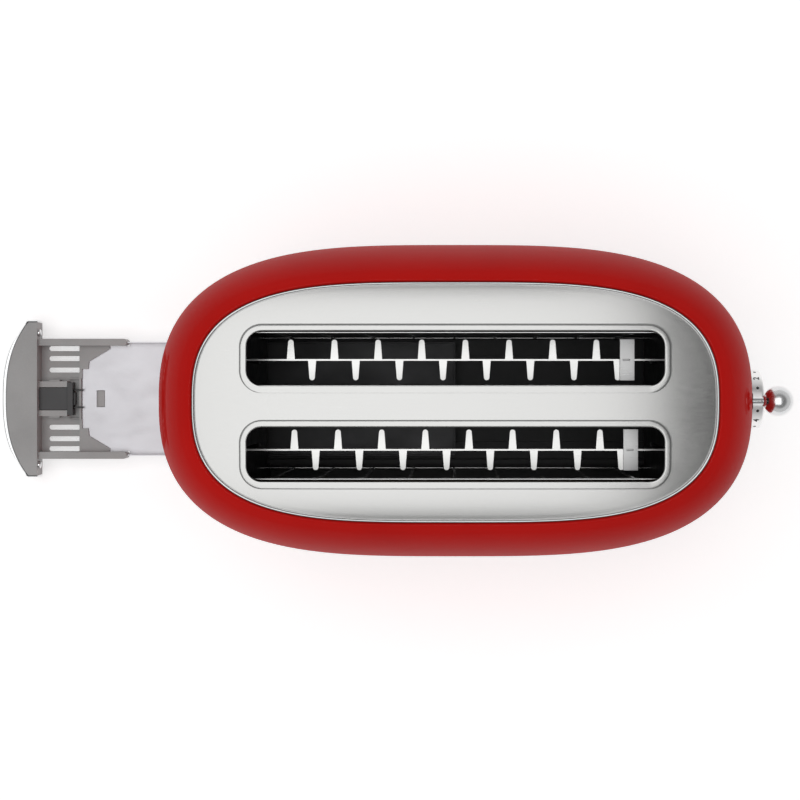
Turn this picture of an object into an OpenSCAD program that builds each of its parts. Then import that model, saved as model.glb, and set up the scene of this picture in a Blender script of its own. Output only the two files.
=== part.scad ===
// Pop-up toaster with two long bread slots, a pull-out crumb tray at its left end (-X)
// and a ball lever with a browning dial at its right end (+X).
// Millimetres. +Z is up, and the origin is the middle of the footprint on the table.
// The crumb tray is drawn part way out, and the bread carriage is drawn raised.

/* [Body] */
// Length of the painted shell at its widest line
body_length = 376; // [350:1:455]
// Depth of the painted shell at its widest line
body_depth = 200; // [188:1:240]
// Height of the crown of the top plate above the table
body_height = 215; // [205:1:260]
// Height of the widest line of the shell above the table
waist_height = 82; // [70:1:95]
// Sheet thickness of the painted shell
shell_wall = 1.2; // [1:0.1:2]
// How far the shell draws in from its widest line to its hem
hem_inset = 5; // [3:0.5:7]
// Radial width of the painted shoulder at the ends, from the widest line to the top opening
shoulder_end = 35.8; // [30:0.1:38]
// Radial width of the painted shoulder at the long sides
shoulder_side = 30.5; // [26:0.1:32]

/* [Base] */
// Height of the rubber feet
foot_height = 8; // [6:0.5:10]
// Radius of the rubber feet
foot_radius = 10; // [7:0.5:12]
// Thickness of the floor of the base plate
floor_thick = 2.5; // [2:0.1:3]
// Height of the polished base band
band_height = 18; // [17:0.5:20]
// Sheet thickness of the base band
band_wall = 1.2; // [0.8:0.1:1.5]
// Wall thickness of the plastic base plate
base_wall = 2; // [1.5:0.1:2.5]
// Bore radius of the cord gland
gland_bore = 3.6; // [3:0.1:4]

/* [Bread slots] */
// Length of the clear bread opening
slot_length = 241; // [220:1:250]
// Width of the clear bread opening
slot_width = 31.6; // [29:0.1:34]
// Distance between the middles of the two openings
slot_pitch = 55.4; // [53:0.1:58]
// Sideways place of the pair of openings
slot_shift = -2.4; // [-3:0.1:3]
// Corner radius of the clear bread opening
slot_corner = 9; // [6:0.5:12]
// Depth of the collar that hangs below each opening
collar_depth = 8; // [6:0.5:9]
// Sheet thickness of the top plate
plate_thick = 1.2; // [1:0.1:1.5]

/* [Bread carriage] */
// Height of the bread rails when the carriage is raised
rail_top = 150; // [140:1:155]
// Height of the strip that each bread rail is cut from
rail_height = 12; // [9:0.5:14]
// Thickness of the bread rail strip
rail_thick = 1; // [0.8:0.1:1.5]
// Distance between the fingers on one side of a rail
finger_pitch = 26.9; // [26:0.1:28]
// Number of fingers on each side of a rail
finger_count = 8; // [6:1:8]
// Length of a finger
finger_length = 12.5; // [10:0.5:13]
// Width of a finger at its root
finger_root = 5; // [4:0.1:6]
// Width of a finger at its tip
finger_tip = 3.3; // [2.5:0.1:3.6]
// How far the front rail is set towards the lever, against the back rail
front_rail_set = 2.2; // [0:0.1:2.5]
// Full travel of the lever
lever_travel = 70; // [55:1:72]
// Radius of the carriage guide rods
rod_radius = 2.5; // [2:0.1:3]
// Radial clearance of a bush on its rod, and of a shaft in its bearing
running_gap = 0.05; // [0.03:0.01:0.08]

/* [Lever] */
// Radius of the ball on the lever
ball_radius = 9.2; // [8:0.1:10]
// Distance of the middle of the ball beyond the right end of the shell
ball_standout = 10.4; // [10:0.1:24]
// Radius of the lever stem
stem_radius = 2.5; // [2:0.1:2.8]
// Width of the lever slot inside its liner
lever_slot_width = 6; // [5.8:0.1:8]

/* [Bread guides] */
// Radius of the upright wires
wire_radius = 0.8; // [0.6:0.1:1]
// Radius of the top and bottom wires
guide_rod_radius = 1; // [0.8:0.1:1.2]
// Height of the top wire
guide_top = 184; // [175:1:186]
// Height of the bottom wire, which is the guide's hinge pin
guide_bottom = 60; // [56:1:62]
// Number of upright wires
wire_count = 9; // [7:1:9]
// How far a guide stands outside the clear opening
guide_offset = 0.2; // [0:0.1:0.6]

/* [Heaters] */
// Distance of an outer heater board from the middle of its slot
heater_offset = 24.5; // [23:0.5:26]
// Thickness of a mica heater board
mica_thick = 0.8; // [0.6:0.1:1]
// Number of windings on a heater board
winding_count = 12; // [8:1:13]

/* [Crumb tray] */
// How far the tray is drawn out of its closed place
tray_out = 131.5; // [100:0.5:135]
// Width of the tray across its side rails
tray_width = 83.8; // [80:0.1:86]
// Width of the front of the tray
tray_front_width = 109; // [106:0.5:112]
// Length of the metal pan
pan_length = 262; // [240:1:264]
// Sheet thickness of the metal pan
pan_thick = 0.8; // [0.6:0.1:1]
// Sliding clearance of the tray
tray_gap = 0.3; // [0.2:0.05:0.5]

/* [Controls] */
// Radius of the browning dial
dial_radius = 19.6; // [18:0.1:20]
// Height of the browning dial's axis
dial_height = 48; // [47:0.5:49]
// Distance of the dial's face beyond the right end of the shell
dial_standout = 19.2; // [15:0.1:24]
// Radius of the dial shaft
shaft_radius = 3; // [2.5:0.1:3.2]
// Radius of a function button
button_radius = 4.6; // [4:0.1:4.8]
// Travel of a function button
button_travel = 1.5; // [1:0.1:1.7]
// Radial clearance round a button
button_gap = 0.25; // [0.2:0.05:0.3]

/* [Hidden] */
$fn = 48;

// Outline exponents: along X and along Y, for the widest line and for the top opening
wide_p = 3.4;
wide_q = 2.45;
open_p = 3.65;
open_q = 2.7;
outline_points = 88;

// Levels
rim_z = body_height - 2;
ledge_z = rim_z - 2.8;
hem_z = foot_height + 1 + band_height;
floor_top = foot_height + floor_thick;
flange_top = foot_height + 1;
chamber_top = rim_z - 11;
ledge_width = 6;

// Half sizes of the outlines
half_length = body_length / 2;
half_depth = body_depth / 2;
open_half_length = half_length - shoulder_end;
open_half_depth = half_depth - shoulder_side;
band_half_length = half_length - hem_inset - 1.2;
band_half_depth = half_depth - hem_inset - 1.2;
base_gap = 0.2;
base_half_length = band_half_length - band_wall - base_gap;
base_half_depth = band_half_depth - band_wall - base_gap;
fit_gap = 0.2;

// Toasting chamber
slots = [slot_shift - slot_pitch / 2, slot_shift + slot_pitch / 2];
sheet = 1.2;
chamber_half = slot_length / 2 + 10;
chamber_out = chamber_half + sheet;
reflector_y = slot_pitch / 2 + heater_offset + 4.5;
end_half_depth = reflector_y + 1.8;
channel_half = tray_width / 2 + tray_gap + 3.6;
leg_inner = channel_half + 0.7;
leg_flange = 13;
leg_screw_x = chamber_out + 7;
leg_screw_y = leg_inner + 5.5;
screw_radius = 1.5;
screw_hole = 1.6;
guide_y = slot_width / 2 + guide_offset;
guide_half = chamber_out + 2;
wire_first = -4 * finger_pitch - 0.9;
guide_swing = 8;

// Carriage
rail_slot = 3;
plate_x = chamber_out + 5.3;
plate_t = 2;
rod_x = plate_x + 8;
rod_y = slot_pitch / 2 - 3.7;
bush_wall = 2.4;
carriage_low = rail_top - 20;
bracket_half = slot_pitch / 2 + 4.3;
lever_z = rail_top + 2;
finger_back = -101.5;
finger_forward = finger_back + 13.1;
saddle_x = 105.6;
keeper_z = carriage_low - 2;
magnet_top = keeper_z - lever_travel - 0.3;
magnet_x = plate_x + 17;
mech_floor = 31;
mech_plate = 1.5;
top_bracket_z = chamber_top - 5;
bracket_reach = 25;
spring_x = rod_x + 8;
spring_top = top_bracket_z;
spring_low = lever_z - 1;

// Controls
ball_reach = half_length + ball_standout;
dial_reach = half_length + dial_standout;
board_x = half_length - 20;
board_thick = 1.6;
board_low = 33;
board_high = 72;
panel_half_width = 36;
panel_low = dial_height - 19.5;
panel_high = dial_height + 20.5;
panel_corner = 10;
panel_proud = 0.6;
panel_thick = 2.2;
button_y = 27.8;
button_dz = 9;
button_z = dial_height + 1;
pot_face = board_x + board_thick + 6.4;
pot_nose = pot_face + 4;
switch_face = board_x + board_thick + 3.6;
liner_wall = 2;
liner_proud = 0.4;
slot_z0 = lever_z - lever_travel - 5;
slot_z1 = lever_z + 5;

// Crumb tray, in its closed place
tray_low = floor_top + 1.2 + tray_gap;
tray_top = hem_z - 0.4;
tray_front_x = -band_half_length;
tray_chord_x = tray_front_x + 22.5;
tray_floor_x = tray_chord_x + 28.5;
pan_x0 = tray_floor_x + 0.3;
pan_x1 = pan_x0 + pan_length;
rail_end_x = tray_chord_x + 61.6;
rail_w = 4.8;
runner_end = chamber_out + 3;
gland_x = 60;
gland_z = floor_top + 7.5;

// Outlines and wall places

function sgn(v) = v < 0 ? -1 : 1;

function lerp(a, b, u) = a + (b - a) * u;

// One closed outline. u is 0 for the family of the widest line and 1 for that of the top opening.
function outline(a, b, u = 0, n = outline_points) =
    let (p = lerp(wide_p, open_p, u), q = lerp(wide_q, open_q, u))
    [for (i = [0:n - 1])
        let (t = 360 * i / n, c = cos(t), s = sin(t))
        [a * sgn(c) * pow(abs(c), 2 / p), b * sgn(s) * pow(abs(s), 2 / q)]];

function at_height(points, z) = [for (p = points) [p[0], p[1], z]];

// Share of the shoulder at a height: 0 at the widest line and 1 at the top opening
function shoulder_share(z) =
    z <= waist_height ? 0 : 1 - sqrt(max(0, 1 - pow((z - waist_height) / (rim_z - waist_height), 2)));

// Draw-in of the shell below its widest line
function draw_in(z) =
    z >= waist_height ? 0 : hem_inset * pow((waist_height - z) / (waist_height - hem_z), 2.2);

// One ring of the shell's outer face, moved inwards by inward
function shell_ring(z, inward) =
    let (u = shoulder_share(z), d = draw_in(z) + inward)
    at_height(outline(
        lerp(half_length, open_half_length, u) - d,
        lerp(half_depth, open_half_depth, u) - d, u), z);

// X of the shell's outer face on the +X side
function wall_x(y, z) =
    let (u = shoulder_share(z), d = draw_in(z),
        a = lerp(half_length, open_half_length, u) - d,
        b = lerp(half_depth, open_half_depth, u) - d)
    a * pow(1 - pow(abs(y) / b, lerp(wide_q, open_q, u)), 1 / lerp(wide_p, open_p, u));

// Shared shapes

// A hollow ring of stations, closed round the outline and round the section
module ring_loft(rings) {
    n = len(rings[0]);
    m = len(rings);
    polyhedron(
        points = [for (r = rings) for (p = r) p],
        faces = [for (i = [0:m - 1]) for (j = [0:n - 1])
            let (a = i * n + j, b = i * n + (j + 1) % n,
                c = ((i + 1) % m) * n + (j + 1) % n, d = ((i + 1) % m) * n + j)
            each [[a, c, b], [a, d, c]]]);
}

// A slab that follows the shell's outer face on the +X side
module wall_patch(y_half, z0, z1, proud, thick, ny = 12, nz = 8) {
    front = [for (i = [0:nz]) for (j = [0:ny])
        let (y = lerp(-y_half, y_half, j / ny), z = lerp(z0, z1, i / nz))
        [wall_x(y, z) + proud, y, z]];
    back = [for (p = front) [p[0] - thick, p[1], p[2]]];
    w = ny + 1;
    k = len(front);
    edge = concat(
        [for (j = [0:ny]) j],
        [for (i = [1:nz]) i * w + ny],
        [for (j = [ny - 1:-1:0]) nz * w + j],
        [for (i = [nz - 1:-1:1]) i * w]);
    e = len(edge);
    polyhedron(
        points = concat(front, back),
        faces = concat(
            [for (i = [0:nz - 1]) for (j = [0:ny - 1])
                let (a = i * w + j, b = a + 1, c = b + w, d = a + w)
                each [[a, c, b], [a, d, c]]],
            [for (i = [0:nz - 1]) for (j = [0:ny - 1])
                let (a = k + i * w + j, b = a + 1, c = b + w, d = a + w)
                each [[a, b, c], [a, c, d]]],
            [for (i = [0:e - 1])
                let (a = edge[i], b = edge[(i + 1) % e])
                each [[a, b, k + b], [a, k + b, k + a]]]));
}

// A rounded rectangle, from exact squares and circles
module rounded_rect(length, width, r) {
    square([length - 2 * r, width], center = true);
    square([length, width - 2 * r], center = true);
    for (x = [-1, 1], y = [-1, 1])
        translate([x * (length / 2 - r), y * (width / 2 - r)])
            circle(r);
}

// A cylinder along X, from x0 to x1
module rod_along_x(x0, x1, y, z, r) {
    translate([x0, y, z])
        rotate([0, 90, 0])
            cylinder(h = x1 - x0, r = r);
}

// A cylinder along Y, from y0 to y1
module rod_along_y(y0, y1, x, z, r) {
    translate([x, y0, z])
        rotate([-90, 0, 0])
            cylinder(h = y1 - y0, r = r);
}

// A block from one corner to the other
module block(low, high) {
    translate(low)
        cube(high - low);
}

// A round wire that follows a list of points
module swept_wire(path, r, sides = 8) {
    n = len(path);
    frames = [for (i = [0:n - 1])
        let (t = path[min(i + 1, n - 1)] - path[max(i - 1, 0)],
            f = t / norm(t),
            side = abs(f[2]) < 0.9 ? cross([0, 0, 1], f) : cross([1, 0, 0], f),
            a = side / norm(side),
            b = cross(f, a))
        [a, b]];
    polyhedron(
        points = [for (i = [0:n - 1]) for (j = [0:sides - 1])
            path[i] + r * (cos(360 * j / sides) * frames[i][0] + sin(360 * j / sides) * frames[i][1])],
        faces = concat(
            [for (i = [0:n - 2]) for (j = [0:sides - 1])
                let (a = i * sides + j, b = i * sides + (j + 1) % sides, c = b + sides, d = a + sides)
                each [[a, c, b], [a, d, c]]],
            [[for (j = [0:sides - 1]) j]],
            [[for (j = [sides - 1:-1:0]) (n - 1) * sides + j]]));
}

// Body

module outer_shell() {
    lower = [for (i = [0:4]) lerp(hem_z, waist_height, i / 5)];
    upper = [for (i = [0:11]) waist_height + (rim_z - waist_height) * sin(90 * i / 11)];
    inner_top = ledge_z - sheet;
    inner_upper = [for (i = [11:-1:0]) 90 * i / 11];
    rings = concat(
        [for (z = lower) shell_ring(z, 0)],
        [for (z = upper) shell_ring(z, 0)],
        [at_height(outline(open_half_length, open_half_depth, 1), ledge_z)],
        [at_height(outline(open_half_length - ledge_width, open_half_depth - ledge_width, 1), ledge_z)],
        [at_height(outline(open_half_length - ledge_width, open_half_depth - ledge_width, 1), inner_top)],
        [for (t = inner_upper)
            let (u = 1 - cos(t))
            at_height(outline(
                lerp(half_length - shell_wall, open_half_length - 1, u),
                lerp(half_depth - shell_wall, open_half_depth - 1, u), u),
                waist_height + (inner_top - 0.3 - waist_height) * sin(t))],
        [for (i = [4:-1:0]) shell_ring(lower[i], shell_wall)]);
    color("firebrick")
        difference() {
            ring_loft(rings);
            translate([half_length - 12, 0, (panel_low + panel_high) / 2])
                rotate([90, 0, 90])
                    linear_extrude(40)
                        rounded_rect(2 * (panel_half_width + fit_gap), panel_high - panel_low + 2 * fit_gap,
                            panel_corner);
            translate([half_length - 30, 0, (slot_z0 + slot_z1) / 2])
                rotate([90, 0, 90])
                    linear_extrude(60)
                        rounded_rect(lever_slot_width + 2 * (liner_wall + fit_gap),
                            slot_z1 - slot_z0 + 2 * (liner_wall + fit_gap), lever_slot_width / 2);
        }
}

trim_gap = 0.2;
trim_width = 1.4;
plate_half_length = open_half_length - 2 * trim_gap - trim_width;
plate_half_depth = open_half_depth - 2 * trim_gap - trim_width;

module top_trim() {
    outer = [open_half_length - trim_gap, open_half_depth - trim_gap];
    color("silver")
        translate([0, 0, ledge_z])
            linear_extrude(rim_z + 0.4 - ledge_z)
                difference() {
                    polygon(outline(outer[0], outer[1], 1));
                    polygon(outline(outer[0] - trim_width, outer[1] - trim_width, 1));
                }
}

// Height of the top plate's upper face at a share of its half size
function dome_z(s) = body_height - (body_height - ledge_z - plate_thick) * pow(s, 4);

module top_plate() {
    shares = [0.02, 0.45, 0.65, 0.8, 0.9, 0.96, 1];
    rings = concat(
        [for (s = shares) at_height(outline(plate_half_length * s, plate_half_depth * s, 1, 64),
            dome_z(s) - plate_thick)],
        [for (i = [len(shares) - 1:-1:0])
            let (s = shares[i])
            at_height(outline(plate_half_length * s, plate_half_depth * s, 1, 64), dome_z(s))]);
    color("gainsboro") {
        difference() {
            ring_loft(rings);
            for (y = slots)
                translate([0, y, ledge_z - 5])
                    linear_extrude(15)
                        rounded_rect(slot_length + plate_thick, slot_width + plate_thick,
                            slot_corner + plate_thick / 2);
        }
        translate([0, 0, body_height - plate_thick])
            cylinder(h = plate_thick, r = 5);
        for (y = slots)
            translate([0, y, chamber_top + 2.5])
                linear_extrude(collar_depth)
                    difference() {
                        rounded_rect(slot_length + 2 * plate_thick, slot_width + 2 * plate_thick,
                            slot_corner + plate_thick);
                        rounded_rect(slot_length, slot_width, slot_corner);
                    }
    }
}

// Base

module tray_window(gap) {
    translate([-half_length - 10, -tray_front_width / 2 - gap, flange_top])
        cube([40, tray_front_width + 2 * gap, band_height + 10]);
}

module base_band() {
    color("silver")
        difference() {
            translate([0, 0, flange_top])
                linear_extrude(band_height)
                    difference() {
                        polygon(outline(band_half_length, band_half_depth));
                        polygon(outline(band_half_length - band_wall, band_half_depth - band_wall));
                    }
            tray_window(0.5);
            rod_along_y(half_depth - 30, half_depth, gland_x, gland_z, gland_bore + 2.2);
        }
}

module base_plate() {
    post_y = 38;
    color("dimgray")
        difference() {
            union() {
                translate([0, 0, foot_height])
                    linear_extrude(flange_top - foot_height)
                        polygon(outline(band_half_length, band_half_depth));
                translate([0, 0, foot_height])
                    linear_extrude(floor_thick)
                        polygon(outline(base_half_length, base_half_depth));
                translate([0, 0, foot_height])
                    linear_extrude(hem_z - foot_height - 1)
                        difference() {
                            polygon(outline(base_half_length, base_half_depth));
                            polygon(outline(base_half_length - base_wall, base_half_depth - base_wall));
                        }
                for (y = [-post_y, post_y])
                    block([board_x - 2, y - 3, floor_top - 1], [board_x + 4, y + 3, board_low]);
            }
            translate([-half_length - 10, -tray_front_width / 2 - 0.5, floor_top])
                cube([60, tray_front_width + 1, band_height]);
            rod_along_y(half_depth - 30, half_depth, gland_x, gland_z, gland_bore + 2.2);
            for (x = [-1, 1], y = [-1, 1])
                translate([x * leg_screw_x, y * leg_screw_y, foot_height - 1]) {
                    cylinder(h = 10, r = screw_hole);
                    cylinder(h = 2.5, r = 3.2);
                }
            for (x = [-4:4], y = [-1, 1])
                translate([x * 12, y * 66, foot_height - 1])
                    cylinder(h = 10, r = 2.5);
        }
}

module foot() {
    cylinder(h = 2, r1 = foot_radius - 1.5, r2 = foot_radius);
    translate([0, 0, 2])
        cylinder(h = foot_height - 2, r = foot_radius);
}

module feet() {
    color("black")
        for (x = [-1, 1], y = [-1, 1])
            translate([x * (half_length - 62), y * (half_depth - 32), 0])
                foot();
    // Middle foot, which takes the push of the lever's carriage
    color("black")
        foot();
}

module base_screws() {
    color("silver")
        for (x = [-1, 1], y = [-1, 1])
            translate([x * leg_screw_x, y * leg_screw_y, 0])
                difference() {
                    union() {
                        translate([0, 0, foot_height + 0.2])
                            cylinder(h = 1.3, r = 3);
                        translate([0, 0, foot_height + 1.5])
                            cylinder(h = 4.5, r = screw_radius);
                    }
                    for (a = [0, 90])
                        rotate(a)
                            translate([-1.8, -0.35, foot_height + 0.2 - 1])
                                cube([3.6, 0.7, 1.7]);
                }
}

module cord_gland() {
    wall_y = band_half_depth * pow(1 - pow(gland_x / band_half_length, wide_p), 1 / wide_q);
    color("black")
        difference() {
            union() {
                rod_along_y(wall_y - 9, wall_y + 2.2, gland_x, gland_z, gland_bore + 2);
                rod_along_y(wall_y + 0.5, wall_y + 2.2, gland_x, gland_z, gland_bore + 3.6);
                rod_along_y(wall_y - 7.4, wall_y - 5.2, gland_x, gland_z, gland_bore + 3.6);
            }
            rod_along_y(wall_y - 10, wall_y + 3, gland_x, gland_z, gland_bore);
        }
}

// Toasting chamber

module end_plate(x0) {
    sign = x0 < 0 ? -1 : 1;
    y0 = slot_shift - end_half_depth;
    y1 = slot_shift + end_half_depth;
    flange_x0 = x0 < 0 ? -chamber_out - leg_flange : chamber_half;
    difference() {
        union() {
            block([x0, y0, hem_z + 2], [x0 + sheet, y1, chamber_top]);
            block([x0, y0, floor_top], [x0 + sheet, -leg_inner, hem_z + 3]);
            block([x0, leg_inner, floor_top], [x0 + sheet, y1, hem_z + 3]);
            block([flange_x0, y0, floor_top], [flange_x0 + leg_flange + sheet, -leg_inner, floor_top + sheet]);
            block([flange_x0, leg_inner, floor_top], [flange_x0 + leg_flange + sheet, y1, floor_top + sheet]);
        }
        for (y = [-1, 1])
            translate([sign * leg_screw_x, y * leg_screw_y, floor_top - 1])
                cylinder(h = 4, r = screw_hole);
        // Bread rails run up and down in these
        for (y = slots)
            block([x0 - 1, y - rail_slot / 2, rail_top - rail_height - lever_travel - 2],
                [x0 + sheet + 1, y + rail_slot / 2, rail_top + 2]);
        for (y = slots, side = [-1, 1]) {
            // Hinge holes and swing slots of the bread guides
            rod_along_x(x0 - 1, x0 + sheet + 1, y + side * guide_y, guide_bottom,
                guide_rod_radius + running_gap);
            translate([x0 + sheet / 2, y + side * (guide_y - guide_swing / 2), guide_top - 0.1])
                cube([sheet + 2, guide_swing + 2 * guide_rod_radius + 1.2, 2 * guide_rod_radius + 1],
                    center = true);
        }
        // Tabs of the heater boards
        for (y = heater_ys, z = tab_zs)
            block([x0 - 1, y - mica_thick / 2 - 0.1, z - 0.1],
                [x0 + sheet + 1, y + mica_thick / 2 + 0.1, z + 8.1]);
    }
}

heater_ys = [slots[0] - heater_offset, slot_shift, slots[1] + heater_offset];
board_z0 = 52;
board_z1 = chamber_top - 8;
tab_zs = [board_z0 + 2, board_z1 - 10];

module end_plate_left() {
    color("slategray")
        end_plate(-chamber_out);
}

module end_plate_right() {
    color("slategray")
        end_plate(chamber_half);
}

module reflector(side) {
    y = slot_shift + side * reflector_y;
    lip = side * 3;
    color("darkslategray") {
        block([-chamber_half, y - 0.4, hem_z + 4], [chamber_half, y + 0.4, chamber_top]);
        block([-chamber_half + 2, min(y - lip, y), chamber_top - 0.8],
            [chamber_half - 2, max(y - lip, y), chamber_top]);
    }
}

module heater_board(i) {
    y = heater_ys[i];
    color("tan") {
        block([-chamber_half + 5, y - mica_thick / 2, board_z0],
            [chamber_half - 5, y + mica_thick / 2, board_z1]);
        for (z = tab_zs)
            block([-chamber_out, y - mica_thick / 2, z], [chamber_out, y + mica_thick / 2, z + 8]);
    }
}

module heater_winding(i) {
    y = heater_ys[i];
    ribbon = 0.4;
    gap = 0.05;
    end_x = chamber_half - 5 + gap;
    z_first = tab_zs[0] + 11;
    z_step = (tab_zs[1] - 5 - z_first) / (winding_count - 1);
    color("lightsteelblue")
        for (k = [0:winding_count - 1])
            translate([0, y, z_first + k * z_step])
                difference() {
                    cube([2 * (end_x + ribbon), mica_thick + 2 * (gap + ribbon), 1.6], center = true);
                    cube([2 * end_x, mica_thick + 2 * gap, 3], center = true);
                }
}

// Bread guides, one wire frame on each side of each slot

module bread_guide(y) {
    color("silver") {
        for (z = [guide_bottom, guide_top])
            rod_along_x(-guide_half, guide_half, y, z, guide_rod_radius);
        for (k = [0:wire_count - 1])
            translate([wire_first + k * finger_pitch, y, guide_bottom])
                cylinder(h = guide_top - guide_bottom, r = wire_radius);
    }
}

// Bread carriage

module finger(x, y, side) {
    translate([x, y, rail_top - 1.6])
        linear_extrude(1) {
            polygon([
                [-finger_root / 2, 0], [finger_root / 2, 0],
                [finger_tip / 2, side * (finger_length - finger_tip / 2)],
                [-finger_tip / 2, side * (finger_length - finger_tip / 2)]]);
            translate([0, side * (finger_length - finger_tip / 2)])
                circle(finger_tip / 2);
        }
}

module bread_rail(y, set) {
    color("gainsboro") {
        difference() {
            block([-chamber_out - 1.5, y - rail_thick / 2, rail_top - rail_height],
                [plate_x, y + rail_thick / 2, rail_top]);
            for (k = [0:finger_count - 1], x = [finger_back, finger_forward])
                translate([x + set + k * finger_pitch, y, rail_top])
                    cube([finger_root + 1.6, 3, 1.2], center = true);
        }
        for (k = [0:finger_count - 1]) {
            finger(finger_back + set + k * finger_pitch, y, 1);
            finger(finger_forward + set + k * finger_pitch, y, -1);
        }
    }
}

module rail_saddles() {
    half = finger_length + 0.3;
    color("lightgray")
        for (i = [0, 1])
            translate([saddle_x + (i == 0 ? 2.2 : 0), slots[i], rail_top])
                difference() {
                    union() {
                        translate([0, 0, 0.6])
                            cube([9, 2 * half, 1.2], center = true);
                        for (side = [-1, 1])
                            translate([0, side * (half - 0.6), -1.5])
                                cube([8, 1.2, 5], center = true);
                    }
                    translate([-0.5, 0, 1.6])
                        cube([4, 0.9, 2.2], center = true);
                }
}

module carriage_bracket() {
    color("darkgray")
        difference() {
            union() {
                block([plate_x, slot_shift - bracket_half, carriage_low],
                    [plate_x + plate_t, slot_shift + bracket_half, rail_top]);
                for (side = [-1, 1]) {
                    block([plate_x, slot_shift + side * rod_y - 3, carriage_low],
                        [rod_x, slot_shift + side * rod_y + 3, rail_top]);
                    translate([rod_x, slot_shift + side * rod_y, carriage_low])
                        cylinder(h = rail_top - carriage_low, r = rod_radius + bush_wall);
                    // Spring tabs
                    block([rod_x, slot_shift + side * rod_y - 3, rail_top - 3],
                        [spring_x + 4, slot_shift + side * rod_y + 3, rail_top]);
                }
                // Shelf that carries the keeper
                block([plate_x, slot_shift - 12, carriage_low],
                    [magnet_x + 7, slot_shift + 12, carriage_low + 1.5]);
            }
            for (side = [-1, 1])
                translate([rod_x, slot_shift + side * rod_y, carriage_low - 1])
                    cylinder(h = rail_top - carriage_low + 2, r = rod_radius + running_gap);
        }
}

module keeper_plate() {
    color("silver")
        block([magnet_x - 6, slot_shift - 11.6, keeper_z], [magnet_x + 6, slot_shift + 11.6, carriage_low]);
}

module lever_arm() {
    root_x = plate_x + plate_t;
    tip_x = wall_x(0, lever_z) - 2;
    color("darkgray") {
        block([root_x, -1.25, lever_z - 4], [tip_x - 2, 1.25, lever_z + 4]);
        block([root_x, -5, lever_z - 14], [root_x + 1.5, 5, lever_z + 4]);
        rod_along_x(tip_x - 6, ball_reach - 4, 0, lever_z, stem_radius);
    }
}

module lever_knob() {
    cone_start = half_length + liner_proud + 0.5;
    color("silver")
        difference() {
            union() {
                translate([ball_reach, 0, lever_z])
                    sphere(ball_radius);
                translate([cone_start, 0, lever_z])
                    rotate([0, 90, 0])
                        cylinder(h = 3, r1 = stem_radius + 0.5, r2 = stem_radius + 2.5);
            }
            rod_along_x(cone_start - 1, ball_reach - 4, 0, lever_z, stem_radius + 0.02);
        }
}

module guide_rods() {
    color("silver")
        for (side = [-1, 1])
            translate([rod_x, slot_shift + side * rod_y, mech_floor])
                cylinder(h = top_bracket_z - mech_floor, r = rod_radius);
}

module return_springs() {
    turns = 9;
    steps = 12;
    coil_r = 3;
    hook = 3;
    z0 = rail_top;
    height = spring_top - z0;
    color("silver")
        for (side = [-1, 1])
            translate([spring_x, slot_shift + side * rod_y, z0])
                swept_wire(concat(
                    [[0, 0, 0.3], [0, 0, 1.2]],
                    [for (k = [0:turns * steps])
                        [coil_r * cos(360 * k / steps), coil_r * sin(360 * k / steps),
                            lerp(hook, height - hook, k / (turns * steps))]],
                    [[0, 0, height - 1.2], [0, 0, height - 0.3]]), 0.6, 6);
}

module top_bracket() {
    y_half = rod_y + 9;
    color("slategray") {
        block([chamber_out, slot_shift - y_half, top_bracket_z],
            [chamber_out + bracket_reach, slot_shift + y_half, top_bracket_z + mech_plate]);
        block([chamber_out, slot_shift - y_half, top_bracket_z - 6],
            [chamber_out + mech_plate, slot_shift + y_half, top_bracket_z]);
    }
}

module bottom_bracket() {
    y_half = rod_y + 9;
    x1 = magnet_x + 9;
    color("slategray") {
        block([chamber_out, slot_shift - y_half, mech_floor - mech_plate],
            [x1, slot_shift + y_half, mech_floor]);
        block([x1 - mech_plate, slot_shift - y_half, floor_top], [x1, slot_shift + y_half, mech_floor - 0.5]);
        block([chamber_out, slot_shift - y_half, mech_floor - mech_plate],
            [chamber_out + mech_plate, slot_shift + y_half, mech_floor + 8]);
    }
}

module magnet_core() {
    color("gray") {
        block([magnet_x - 5, slot_shift - 11.6, mech_floor], [magnet_x + 5, slot_shift + 11.6, mech_floor + 4]);
        for (y = [-10.1, 0, 10.1])
            block([magnet_x - 5, slot_shift + y - (y == 0 ? 2.5 : 1.5), mech_floor + 3],
                [magnet_x + 5, slot_shift + y + (y == 0 ? 2.5 : 1.5), magnet_top]);
    }
}

module magnet_coil() {
    color("peru")
        difference() {
            block([magnet_x - 8, slot_shift - 8.4, mech_floor + 4.2],
                [magnet_x + 8, slot_shift + 8.4, magnet_top - 2]);
            block([magnet_x - 5.1, slot_shift - 2.6, mech_floor],
                [magnet_x + 5.1, slot_shift + 2.6, magnet_top]);
        }
}

// Controls

module circuit_board() {
    color("darkgreen")
        block([board_x, -42, board_low], [board_x + board_thick, 42, board_high]);
}

module board_components() {
    face = board_x;
    color("dimgray") {
        block([face - 14, 14, board_low + 3], [face, 30, board_low + 16]);
        block([face - 3, -20, board_low + 8], [face, -6, board_low + 16]);
        for (y = [-36, -27])
            rod_along_x(face - 12, face, y, board_low + 10, 4);
        block([face - 8, 20, board_low + 22], [face, 36, board_low + 32]);
    }
}

module potentiometer() {
    color("gray")
        difference() {
            union() {
                rod_along_x(board_x + board_thick, pot_face, 0, dial_height, 8.5);
                rod_along_x(pot_face - 1, pot_nose, 0, dial_height, shaft_radius + 2);
            }
            rod_along_x(board_x + board_thick + 2, pot_nose + 1, 0, dial_height, shaft_radius + running_gap);
        }
}

module button_switches() {
    color("black")
        for (y = [-1, 1], z = [-1, 1]) {
            translate([board_x + board_thick + 1.3, y * button_y, button_z + z * button_dz])
                cube([2.6, 6, 6], center = true);
            rod_along_x(board_x + board_thick + 2, switch_face, y * button_y, button_z + z * button_dz, 1.5);
        }
}

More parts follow.
